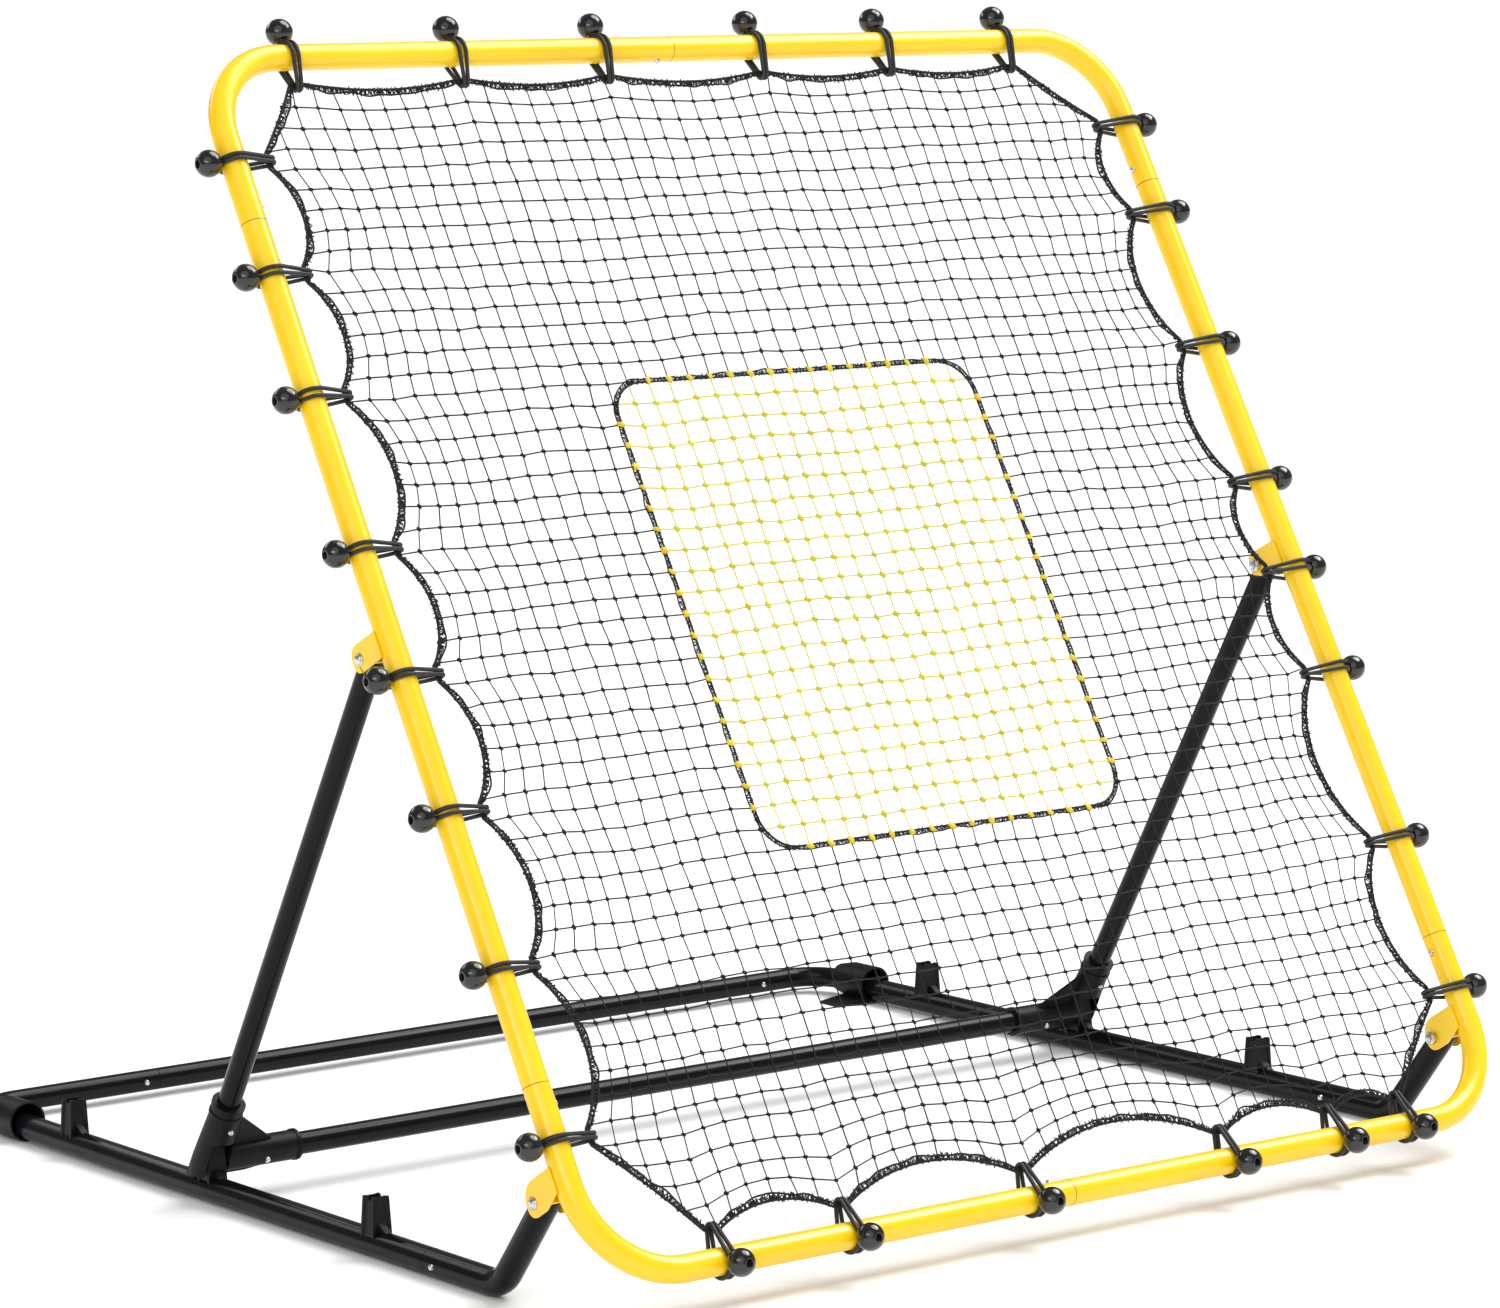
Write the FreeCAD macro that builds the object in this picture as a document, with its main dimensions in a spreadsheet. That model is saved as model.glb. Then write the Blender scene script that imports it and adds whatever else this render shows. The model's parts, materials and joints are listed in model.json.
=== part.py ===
import FreeCAD, Part
import math
import os
import Sketcher

# Pitch back rebounder: a leaning tube frame holds a net by ball bungees, pivots on a floor
# base and is propped by two struts whose feet sit over posts on the base rails.
# The front faces -Y, Z is up and the floor is at zero. X is zero at mid width and Y is zero at
# the middle of the whole depth. Places along the floor are given from the frame's bottom bar.

doc = FreeCAD.newDocument("rebounder")
sheet = doc.addObject("Spreadsheet::Sheet", "Sizes")
Vector = FreeCAD.Vector
Rotation = FreeCAD.Rotation
Placement = FreeCAD.Placement


class Size:
    """A number together with the sheet expression that gives it."""

    def __init__(self, value, text):
        self.value = float(value)
        self.text = text

    def _join(self, other, sign, value, flip=False):
        first, second = (as_size(other), self) if flip else (self, as_size(other))
        return Size(value, "(%s %s %s)" % (first.text, sign, second.text))

    def __add__(self, other):
        return self._join(other, "+", self.value + float(other))

    def __radd__(self, other):
        return self._join(other, "+", float(other) + self.value, True)

    def __sub__(self, other):
        return self._join(other, "-", self.value - float(other))

    def __rsub__(self, other):
        return self._join(other, "-", float(other) - self.value, True)

    def __mul__(self, other):
        return self._join(other, "*", self.value * float(other))

    def __rmul__(self, other):
        return self._join(other, "*", float(other) * self.value, True)

    def __truediv__(self, other):
        return self._join(other, "/", self.value / float(other))

    def __neg__(self):
        return Size(-self.value, "(0 - %s)" % self.text)

    def __float__(self):
        return self.value


def as_size(number):
    return number if isinstance(number, Size) else Size(number, "%.6f" % number)


def sine(angle):
    return Size(math.sin(math.radians(float(angle))), "sin(%s)" % as_size(angle).text)


def cosine(angle):
    return Size(math.cos(math.radians(float(angle))), "cos(%s)" % as_size(angle).text)


def root(number):
    return Size(math.sqrt(float(number)), "sqrt(%s)" % as_size(number).text)


def turn_of(rise, run):
    angle = math.degrees(math.atan2(float(rise), float(run)))
    return Size(angle, "(atan2(%s; %s) / 1 deg)" % (as_size(rise).text, as_size(run).text))


rows = []


def size(name, value):
    """Write one driving dimension into the sheet, once, and hand it back as a Size."""
    rows.append(name)
    sheet.set("A%d" % len(rows), name.replace("_", " "))
    sheet.set("B%d" % len(rows), str(value))
    sheet.setAlias("B%d" % len(rows), name)
    return Size(value, "Sizes.%s" % name)


# Tubes
tube_diameter = size("tube_diameter", 28.6)
tube_wall = size("tube_wall", 1.2)
slim_diameter = size("slim_diameter", 25.4)
fit_gap = size("fit_gap", 0.15)
seam_gap = size("seam_gap", 0.3)
seat_gap = size("seat_gap", 0.3)
spigot_length = size("spigot_length", 60)
swage_length = size("swage_length", 3)

# Leaning frame, measured in its own plane between tube centres
floor_middle = size("floor_middle", 598.8)
frame_width = size("frame_width", 1250)
frame_height = size("frame_height", 1370)
frame_lean = size("frame_lean", 30)
bottom_bar_height = size("bottom_bar_height", 47)
top_bend = size("top_bend", 95)
bottom_bend = size("bottom_bend", 104)
top_seam = size("top_seam", -11)
bottom_seam = size("bottom_seam", -19)
upper_seam = size("upper_seam", 1174)
lower_seam = size("lower_seam", 209)

# Snap buttons
button_diameter = size("button_diameter", 6.4)
button_gap = size("button_gap", 0.2)
button_proud = size("button_proud", 3.5)
button_setback = size("button_setback", 20)
button_flange = size("button_flange", 9)
button_flange_thickness = size("button_flange_thickness", 1)
button_flats = size("button_flats", 16)
touch_gap = size("touch_gap", 0.05)

# Brackets and pivots
upper_pivot_up = size("upper_pivot_up", 693.5)
upper_pivot_back = size("upper_pivot_back", 38)
lower_pivot_up = size("lower_pivot_up", 103)
lower_pivot_back = size("lower_pivot_back", 43)
bracket_plate = size("bracket_plate", 2.5)
bolt_diameter = size("bolt_diameter", 8)
bolt_gap = size("bolt_gap", 0.1)
bolt_head_diameter = size("bolt_head_diameter", 14)
bolt_head_height = size("bolt_head_height", 4.5)
nut_width = size("nut_width", 13)
nut_height = size("nut_height", 7)
pivot_end = size("pivot_end", 11)

# Floor base
rail_front_height = size("rail_front_height", 14.4)
rail_rear_height = size("rail_rear_height", 17)
rail_bend_place = size("rail_bend_place", 168)
rail_bend = size("rail_bend", 40)
rail_seam = size("rail_seam", 293)
rail_end = size("rail_end", 1125)
rail_nose = size("rail_nose", 6)
front_post_place = size("front_post_place", 395)
middle_post_place = size("middle_post_place", 714)
rear_post_place = size("rear_post_place", 1005)
post_height = size("post_height", 36)
post_base_width = size("post_base_width", 24)
post_top_width = size("post_top_width", 20)
post_wall = size("post_wall", 2.2)
post_flute = size("post_flute", 1.6)
post_land = size("post_land", 3.2)
post_notch = size("post_notch", 4)
post_gusset_length = size("post_gusset_length", 11)
post_gusset_height = size("post_gusset_height", 9)
post_gusset_thickness = size("post_gusset_thickness", 8)

# Rear bar and its moulded hoods
rear_bar_place = size("rear_bar_place", 1229)
rear_bar_height = size("rear_bar_height", 20)
rear_bar_bend = size("rear_bar_bend", 50)
rear_left_seam_in = size("rear_left_seam_in", 243)
rear_right_seam_in = size("rear_right_seam_in", 120)
hood_mouth = size("hood_mouth", 1110)
hood_depth = size("hood_depth", 44)
hood_neck = size("hood_neck", 24)
hood_diameter = size("hood_diameter", 46)
hood_wall = size("hood_wall", 2.4)
hood_foot_reach = size("hood_foot_reach", 58)
hood_foot_length = size("hood_foot_length", 40)
hood_foot_thickness = size("hood_foot_thickness", 8)

# Prop: struts, feet and cross tube
foot_place = size("foot_place", 716)
foot_height = size("foot_height", 49)
foot_wall = size("foot_wall", 3)
foot_bottom_diameter = size("foot_bottom_diameter", 41)
foot_top_diameter = size("foot_top_diameter", 35)
foot_collar_diameter = size("foot_collar_diameter", 37.5)
foot_sleeve_height = size("foot_sleeve_height", 79)
foot_collar_pitch = size("foot_collar_pitch", 12)
foot_collar_width = size("foot_collar_width", 4)
foot_seat = size("foot_seat", 30)
foot_lip = size("foot_lip", 2)
foot_lip_width = size("foot_lip_width", 3)
foot_wall_end = size("foot_wall_end", 22)
foot_button_up = size("foot_button_up", 51)
socket_button_in = size("socket_button_in", 63)
socket_button_dip = size("socket_button_dip", 30)
foot_socket_length = size("foot_socket_length", 108)
foot_socket_diameter = size("foot_socket_diameter", 33)
foot_web = size("foot_web", 4)
foot_web_height = size("foot_web_height", 60)
foot_web_reach = size("foot_web_reach", 74)
foot_slot_gap = size("foot_slot_gap", 2)
foot_slot_height = size("foot_slot_height", 38)

# Net, its border rope and the bungees
net_side_gap = size("net_side_gap", 40)
net_end_gap = size("net_end_gap", 34)
rope_width = size("rope_width", 9)
rope_thickness = size("rope_thickness", 7)
net_thickness = size("net_thickness", 1.6)
strand_width = size("strand_width", 3)
smallest_gap = size("smallest_gap", 12)
net_pitch_across = size("net_pitch_across", 110.8)
net_pitch_up = size("net_pitch_up", 100)
target_half_width = size("target_half_width", 250)
target_low = size("target_low", 417)
target_high = size("target_high", 965)
target_corner = size("target_corner", 42)
target_columns = size("target_columns", 6)
target_rows = size("target_rows", 7)
side_sag = size("side_sag", 0.19)
top_sag = size("top_sag", 0.05)
bottom_sag = size("bottom_sag", 0.13)
corner_sag = size("corner_sag", 0.02)
tie_land = size("tie_land", 7)
cord_diameter = size("cord_diameter", 5)
ball_diameter = size("ball_diameter", 26)
ball_flats = size("ball_flats", 12)
loop_steps = size("loop_steps", 8)
bottom_ball_turn = size("bottom_ball_turn", -78)


def tie_sizes(side, places):
    return [size("%s_tie_%d" % (side, number + 1), place) for number, place in enumerate(places)]


top_ties = tie_sizes("top", (-516, -301, -106, 111, 297, 480))
left_ties = tie_sizes("left", (1247, 1113, 971, 796, 654, 502, 332, 149))
right_ties = tie_sizes("right", (1253, 1136, 961, 784, 669, 540, 329, 143))
bottom_ties = tie_sizes("bottom", (-475, -310, -67, 212, 372, 477))
doc.recompute()

# Sizes that follow from the driving ones
half_width = frame_width / 2
tube_radius = tube_diameter / 2
tube_bore = tube_radius - tube_wall
slim_radius = slim_diameter / 2
rear_left_seam = rear_left_seam_in - half_width
rear_right_seam = half_width - rear_right_seam_in
ear_gap = tube_radius + seat_gap
upper_pivot = (upper_pivot_up * sine(frame_lean) + upper_pivot_back * cosine(frame_lean),
               bottom_bar_height + upper_pivot_up * cosine(frame_lean)
               - upper_pivot_back * sine(frame_lean))
lower_pivot = (lower_pivot_up * sine(frame_lean) + lower_pivot_back * cosine(frame_lean),
               bottom_bar_height + lower_pivot_up * cosine(frame_lean)
               - lower_pivot_back * sine(frame_lean))
strut_run = foot_place - upper_pivot[0]
strut_rise = upper_pivot[1] - foot_height
strut_turn = turn_of(strut_run, strut_rise)
strut_reach = root(strut_run * strut_run + strut_rise * strut_rise)
rail_slope = (rail_rear_height - rail_front_height) / (rail_end - rail_bend_place)


def rail_height_at(place):
    return rail_front_height + (place - rail_bend_place) * rail_slope


def bind(thing, **values):
    """Set properties and tie each one to the sheet."""
    for name, value in values.items():
        path = name.replace("__", ".")
        if "." not in path:
            setattr(thing, path, float(value))
        thing.setExpression(path, as_size(value).text)


def place(thing, base=(0, 0, 0), axis=(0, 0, 1), turn=0):
    """Give a sub-part its placement and tie it to the sheet."""
    spot = Vector(*[float(value) for value in base])
    thing.Placement = Placement(spot, Rotation(Vector(*axis), float(turn)))
    for letter, value in zip("xyz", base):
        thing.setExpression("Placement.Base." + letter, as_size(value).text)
    if float(turn) or isinstance(turn, Size):
        thing.setExpression("Placement.Rotation.Angle", as_size(turn).text)


parts = []


def new_body(name):
    body = doc.addObject("PartDesign::Body", name)
    body.Label = name
    parts.append(body)
    return body


def on_frame(body):
    """Lay a body in the leaning plane: its X is across, its Y runs up the frame."""
    place(body, (0, -floor_middle, bottom_bar_height), (1, 0, 0), 90 - frame_lean)


def frame_placement():
    return Placement(Vector(0, -float(floor_middle), float(bottom_bar_height)),
                     Rotation(Vector(1, 0, 0), 90 - float(frame_lean)))


def floor_placement():
    """For shapes whose places are given from the bottom bar, along the floor."""
    return Placement(Vector(0, -float(floor_middle), 0), Rotation())


def new_sketch(body, name, plane, away=0, turn_axis=(0, 0, 1), turn=0):
    """Attach a sketch to one of the body's origin planes, offset along its normal."""
    sketch = body.newObject("Sketcher::SketchObject", name)
    datum = [item for item in body.Origin.OriginFeatures if item.Role == plane][0]
    sketch.AttachmentSupport = [(datum, "")]
    sketch.MapMode = "FlatFace"
    sketch.AttachmentOffset = Placement(Vector(0, 0, float(away)),
                                        Rotation(Vector(*turn_axis), float(turn)))
    if isinstance(away, Size):
        sketch.setExpression("AttachmentOffset.Base.z", away.text)
    if isinstance(turn, Size):
        sketch.setExpression("AttachmentOffset.Rotation.Angle", turn.text)
    return sketch


def point_vector(point):
    return Vector(float(point[0]), float(point[1]), 0)


def pin(sketch, geometry, end, point):
    """Hold one point of a sketch at sheet coordinates."""
    for kind, value in zip(("DistanceX", "DistanceY"), point):
        index = sketch.addConstraint(Sketcher.Constraint(kind, -1, 1, geometry, end, float(value)))
        if isinstance(value, Size):
            sketch.setExpression("Constraints[%d]" % index, value.text)


def circle(sketch, centre, radius):
    index = sketch.addGeometry(Part.Circle(point_vector(centre), Vector(0, 0, 1), float(radius)))
    pin(sketch, index, 3, centre)
    rule = sketch.addConstraint(Sketcher.Constraint("Radius", index, float(radius)))
    sketch.setExpression("Constraints[%d]" % rule, as_size(radius).text)


def outline(sketch, corners, radii=None, closed=True):
    """Draw straight runs through the corners, rounded by tangent arcs where a radius is given."""
    count = len(corners)
    radii = radii or [0] * count
    spots = [point_vector(corner) for corner in corners]
    runs = count if closed else count - 1
    starts = list(spots)
    ends = list(spots)
    for i in range(count):
        if not float(radii[i]):
            continue
        before = (spots[i - 1] - spots[i]).normalize()
        after = (spots[(i + 1) % count] - spots[i]).normalize()
        back = float(radii[i]) / math.tan(before.getAngle(after) / 2)
        ends[i] = spots[i] + before * back
        starts[i] = spots[i] + after * back
    lines = []
    for i in range(runs):
        follower = (i + 1) % count
        lines.append(sketch.addGeometry(Part.LineSegment(starts[i], ends[follower])))
    for i in range(count):
        joined = closed or 0 < i < count - 1
        if not float(radii[i]):
            if joined:
                sketch.addConstraint(Sketcher.Constraint("Coincident", lines[i - 1], 2, lines[i], 1))
            line, end = (lines[i], 1) if i < runs else (lines[-1], 2)
            pin(sketch, line, end, corners[i])
            continue
        half_turn = (ends[i] - spots[i]).getAngle(starts[i] - spots[i]) / 2
        inward = ((ends[i] + starts[i]) / 2 - spots[i]).normalize()
        centre = spots[i] + inward * (float(radii[i]) / math.sin(half_turn))
        swapped = (spots[i] - ends[i]).cross(starts[i] - spots[i]).z < 0
        first, last = (2, 1) if swapped else (1, 2)
        tips = (starts[i], ends[i]) if swapped else (ends[i], starts[i])
        angles = [math.atan2(tip.y - centre.y, tip.x - centre.x) for tip in tips]
        whole = Part.Circle(centre, Vector(0, 0, 1), float(radii[i]))
        arc = sketch.addGeometry(Part.ArcOfCircle(whole, angles[0], angles[1]))
        sketch.addConstraint(Sketcher.Constraint("Tangent", lines[i - 1], 2, arc, first))
        sketch.addConstraint(Sketcher.Constraint("Tangent", arc, last, lines[i], 1))
        rule = sketch.addConstraint(Sketcher.Constraint("Radius", arc, float(radii[i])))
        sketch.setExpression("Constraints[%d]" % rule, as_size(radii[i]).text)
        mark = sketch.addGeometry(Part.Point(spots[i]), True)
        pin(sketch, mark, 1, corners[i])
        sketch.addConstraint(Sketcher.Constraint("PointOnObject", mark, 1, lines[i - 1]))
        sketch.addConstraint(Sketcher.Constraint("PointOnObject", mark, 1, lines[i]))


def pad(body, name, sketch, length, both_ways=False, reverse=False):
    feature = body.newObject("PartDesign::Pad", name)
    feature.Profile = sketch
    feature.Midplane = both_ways
    feature.Reversed = reverse
    bind(feature, Length=length)
    return feature


def pocket(body, name, sketch, length, both_ways=False, reverse=False):
    feature = body.newObject("PartDesign::Pocket", name)
    feature.Profile = sketch
    feature.Midplane = both_ways
    feature.Reversed = reverse
    bind(feature, Length=length)
    return feature


def pipe(body, name, profile, spine):
    feature = body.newObject("PartDesign::AdditivePipe", name)
    feature.Profile = profile
    feature.Spine = spine
    return feature


def drill(body, name, radius, length, base, axis=(0, 0, 1), turn=0):
    """Cut a round hole whose start, direction and size come from the sheet."""
    feature = body.newObject("PartDesign::SubtractiveCylinder", name)
    bind(feature, Radius=radius, Height=length)
    place(feature, base, axis, turn)
    return feature


def ring(sketch, centre, outer, inner):
    circle(sketch, centre, outer)
    circle(sketch, centre, inner)


# Frame tubes: four corner tubes and two side tubes, joined by swaged ends with snap buttons
def swaged_end(body, name, plane, centre, away, forward, outer, wall):
    """A reduced end that slides into the next tube, with the short neck that carries it."""
    spigot_outer = outer - wall - fit_gap
    sketch = new_sketch(body, name + "_neck_ring", plane, away)
    ring(sketch, centre, outer, spigot_outer - wall)
    pad(body, name + "_neck", sketch, swage_length, reverse=forward)
    sketch = new_sketch(body, name + "_ring", plane, away)
    ring(sketch, centre, spigot_outer, spigot_outer - wall)
    pad(body, name + "_spigot", sketch, spigot_length, reverse=not forward)


button_hole = button_diameter / 2 + button_gap


def corner_tube(name, side, bar_place, seam, turn_radius, end_place, spigot):
    """One bent tube of the frame, from a mid seam round a corner to a side seam."""
    body = new_body(name)
    start = seam + side * seam_gap / 2
    profile = new_sketch(body, name + "_profile", "YZ_Plane", start)
    ring(profile, (bar_place, 0), tube_radius, tube_bore)
    spine = new_sketch(body, name + "_spine", "XY_Plane")
    outline(spine, [(start, bar_place), (side * half_width, bar_place),
                    (side * half_width, end_place)], [0, turn_radius, 0], closed=False)
    pipe(body, name + "_tube", profile, spine)
    if spigot:
        swaged_end(body, name + "_end", "YZ_Plane", (bar_place, 0), start, False,
                   tube_radius, tube_wall)
    return body


def inward_hole(body, name, spot, axis, turn):
    """The snap button's hole through one wall, drilled from the tube's centre."""
    drill(body, name, button_hole, tube_radius + 2, spot, axis, turn)


for side, word in ((-1, "left"), (1, "right")):
    spigot = side > 0
    top = corner_tube("frame_top_" + word, side, frame_height, top_seam, top_bend,
                      upper_seam + seam_gap / 2, spigot)
    inward_hole(top, "top_button_hole_" + word, (top_seam - button_setback, frame_height, 0),
                (1, 0, 0), 90)
    inward_hole(top, "upper_button_hole_" + word,
                (side * half_width, upper_seam + button_setback, 0), (0, 1, 0), -side * 90)
    on_frame(top)
    low = corner_tube("frame_bottom_" + word, side, as_size(0), bottom_seam, bottom_bend,
                      lower_seam - seam_gap / 2, spigot)
    inward_hole(low, "bottom_button_hole_" + word, (bottom_seam - button_setback, 0, 0),
                (1, 0, 0), -90)
    inward_hole(low, "lower_button_hole_" + word,
                (side * half_width, lower_seam - button_setback, 0), (0, 1, 0), -side * 90)
    on_frame(low)
    straight = new_body("frame_side_" + word)
    start = lower_seam + seam_gap / 2
    section = new_sketch(straight, "side_ring_" + word, "XZ_Plane", -start)
    ring(section, (side * half_width, 0), tube_radius, tube_bore)
    pad(straight, "side_tube_" + word, section, upper_seam - lower_seam - seam_gap, reverse=True)
    swaged_end(straight, "side_low_" + word, "XZ_Plane", (side * half_width, 0), -start, True,
               tube_radius, tube_wall)
    swaged_end(straight, "side_high_" + word, "XZ_Plane", (side * half_width, 0),
               -(upper_seam - seam_gap / 2), False, tube_radius, tube_wall)
    for mark, up in (("low", lower_seam - button_setback), ("high", upper_seam + button_setback)):
        inward_hole(straight, "spigot_hole_%s_%s" % (mark, word), (side * half_width, up, 0),
                    (0, 1, 0), -side * 90)
    on_frame(straight)


# Pressed brackets welded behind the side tubes: two ears, joined by a web against the tube
def bracket(name, side, pivot_up, pivot_back, corners, radii):
    body = new_body(name)
    centre = side * half_width
    ears = new_sketch(body, name + "_ears", "YZ_Plane", centre)
    outline(ears, [(pivot_up + up, -(pivot_back + back)) for up, back in corners], radii)
    pad(body, name + "_blank", ears, 2 * (ear_gap + bracket_plate), both_ways=True)
    channel = new_sketch(body, name + "_channels", "XZ_Plane", -pivot_up)
    low, high = centre - ear_gap, centre + ear_gap
    for near, far in ((tube_diameter, -ear_gap), (-(ear_gap + bracket_plate), -3 * pivot_back)):
        outline(channel, [(low, near), (high, near), (high, far), (low, far)])
    pocket(body, name + "_bend", channel, 3 * pivot_back, both_ways=True)
    drill(body, name + "_hole", bolt_diameter / 2 + bolt_gap, 2 * tube_diameter,
          (centre - tube_diameter, pivot_up, -pivot_back), (0, 1, 0), 90)
    on_frame(body)


for side, word in ((-1, "left"), (1, "right")):
    top_corners = [(14.5, -upper_pivot_back), (17, 13), (-13.5, 13), (-14.5, -upper_pivot_back)]
    bracket("upper_bracket_" + word, side, upper_pivot_up, upper_pivot_back, top_corners,
            [0, 13, 12, 0])
    low_corners = [(23, -lower_pivot_back), (21, 12), (-15, 12), (-14, -18), (-4, -lower_pivot_back)]
    bracket("lower_bracket_" + word, side, lower_pivot_up, lower_pivot_back, low_corners,
            [0, 21, 12, 14, 0])


# Floor base: rails, front risers, posts, rear bar with elbows and hoods
rail_tilt = turn_of(rail_rear_height - rail_front_height, rail_end - rail_bend_place)


def along_rail(place):
    """Distance from the rail's front bend, measured along the rail."""
    return (place - rail_bend_place) / cosine(rail_tilt)


def on_rail(body, side, spot=rail_bend_place):
    """Put a body's Y axis on the centre line of one rail."""
    place(body, (side * half_width, spot - floor_middle, rail_height_at(spot)), (1, 0, 0),
          rail_tilt)


pivot_run = lower_pivot[0] - rail_bend_place
pivot_rise = lower_pivot[1] - rail_front_height
pivot_along = pivot_run * cosine(rail_tilt) + pivot_rise * sine(rail_tilt)
pivot_above = pivot_rise * cosine(rail_tilt) - pivot_run * sine(rail_tilt)
pivot_reach = root(pivot_run * pivot_run + pivot_rise * pivot_rise)
riser_stretch = 1 + pivot_end / pivot_reach
rail_button_place = rail_seam - button_setback

for side, word in ((-1, "left"), (1, "right")):
    riser = new_body("front_riser_" + word)
    start = along_rail(rail_seam) - seam_gap / 2
    section = new_sketch(riser, "riser_ring_" + word, "XZ_Plane", -start)
    ring(section, (0, 0), tube_radius, tube_bore)
    spine = new_sketch(riser, "riser_spine_" + word, "YZ_Plane")
    outline(spine, [(start, 0), (0, 0), (pivot_along * riser_stretch, pivot_above * riser_stretch)],
            [0, rail_bend, 0], closed=False)
    pipe(riser, "riser_tube_" + word, section, spine)
    drill(riser, "riser_hole_" + word, bolt_diameter / 2 + bolt_gap, 2 * tube_diameter,
          (-tube_diameter, pivot_along, pivot_above), (0, 1, 0), 90)
    drill(riser, "riser_button_hole_" + word, button_hole, tube_diameter,
          (0, along_rail(rail_button_place), 0), (0, 1, 0), -90)
    on_rail(riser, side)

    rail = new_body("rail_" + word)
    start = along_rail(rail_seam) + seam_gap / 2
    section = new_sketch(rail, "rail_ring_" + word, "XZ_Plane", -start)
    ring(section, (0, 0), tube_radius, tube_bore)
    pad(rail, "rail_tube_" + word, section, along_rail(rail_end) - start, reverse=True)
    swaged_end(rail, "rail_front_" + word, "XZ_Plane", (0, 0), -start, True, tube_radius, tube_wall)
    drill(rail, "rail_button_hole_" + word, button_hole, tube_diameter,
          (0, along_rail(rail_button_place), 0), (0, 1, 0), -90)
    on_rail(rail, side)


def fluted_square(sketch, width, land, flute):
    """A square with a shallow channel in each side, between corner pillars."""
    half = width / 2
    side_points = [(half, -half), (half, land - half), (half - flute, land + flute - half),
                   (half - flute, half - land - flute), (half, half - land)]
    turns = [lambda x, y: (x, y), lambda x, y: (-y, x), lambda x, y: (-x, -y), lambda x, y: (y, -x)]
    outline(sketch, [turn(x, y) for turn in turns for x, y in side_points])


post_foot = tube_radius / 2
post_top = tube_radius + post_height


def rail_post(name, side, spot):
    """A hollow fluted post moulded with a saddle for the rail and a small gusset in front."""
    body = new_body(name)
    base = new_sketch(body, name + "_base", "XY_Plane", post_foot)
    fluted_square(base, post_base_width, post_land, post_flute)
    top = new_sketch(body, name + "_top", "XY_Plane", post_top)
    fluted_square(top, post_top_width, post_land, post_flute)
    loft = body.newObject("PartDesign::AdditiveLoft", name + "_body")
    loft.Profile = base
    loft.Sections = [top]
    loft.Ruled = True
    gusset = new_sketch(body, name + "_gusset_side", "YZ_Plane")
    front = -post_base_width / 2
    outline(gusset, [(front + post_flute * 2, tube_radius + post_gusset_height),
                     (front - post_gusset_length, tube_radius + seat_gap),
                     (front - post_gusset_length, post_foot),
                     (front + post_flute * 2, post_foot)])
    pad(body, name + "_gusset", gusset, post_gusset_thickness, both_ways=True)
    saddle = new_sketch(body, name + "_saddle_ring", "XZ_Plane")
    circle(saddle, (0, 0), tube_radius + fit_gap)
    pocket(body, name + "_saddle", saddle, 4 * post_base_width, both_ways=True)
    core = new_sketch(body, name + "_core_plan", "XY_Plane", post_top)
    inside = post_top_width / 2 - post_flute - post_wall
    outline(core, [(-inside, -inside), (inside, -inside), (inside, inside), (-inside, inside)])
    pocket(body, name + "_core", core, post_height - 2 * post_wall)
    notch = new_sketch(body, name + "_notch_side", "YZ_Plane")
    outline(notch, [(-post_notch, post_top + post_notch), (-post_notch, post_top - post_notch),
                    (post_notch / 2, post_top - post_notch), (post_notch, post_top + post_notch)])
    pocket(body, name + "_notch", notch, 2 * post_base_width, both_ways=True)
    on_rail(body, side, spot)


for side, word in ((-1, "left"), (1, "right")):
    rail_post("front_post_" + word, side, front_post_place)
    rail_post("middle_post_" + word, side, middle_post_place)
    rail_post("rear_post_" + word, side, rear_post_place)

slim_bore = slim_radius - tube_wall
hood_step = hood_mouth + hood_depth
hood_centre = hood_diameter / 2

rear_bar = new_body("rear_bar")
section = new_sketch(rear_bar, "rear_bar_ring", "YZ_Plane", rear_left_seam + seam_gap / 2)
ring(section, (0, 0), slim_radius, slim_bore)
pad(rear_bar, "rear_bar_tube", section, rear_right_seam - rear_left_seam - seam_gap)
swaged_end(rear_bar, "rear_bar_left", "YZ_Plane", (0, 0), rear_left_seam + seam_gap / 2, False,
           slim_radius, tube_wall)
swaged_end(rear_bar, "rear_bar_right", "YZ_Plane", (0, 0), rear_right_seam - seam_gap / 2, True,
           slim_radius, tube_wall)
for spot in (rear_left_seam - button_setback, rear_right_seam + button_setback):
    drill(rear_bar, "rear_bar_hole_%d" % spot.value, button_hole, slim_diameter, (spot, 0, 0),
          (1, 0, 0), 90)
place(rear_bar, (0, rear_bar_place - floor_middle, rear_bar_height))

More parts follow.
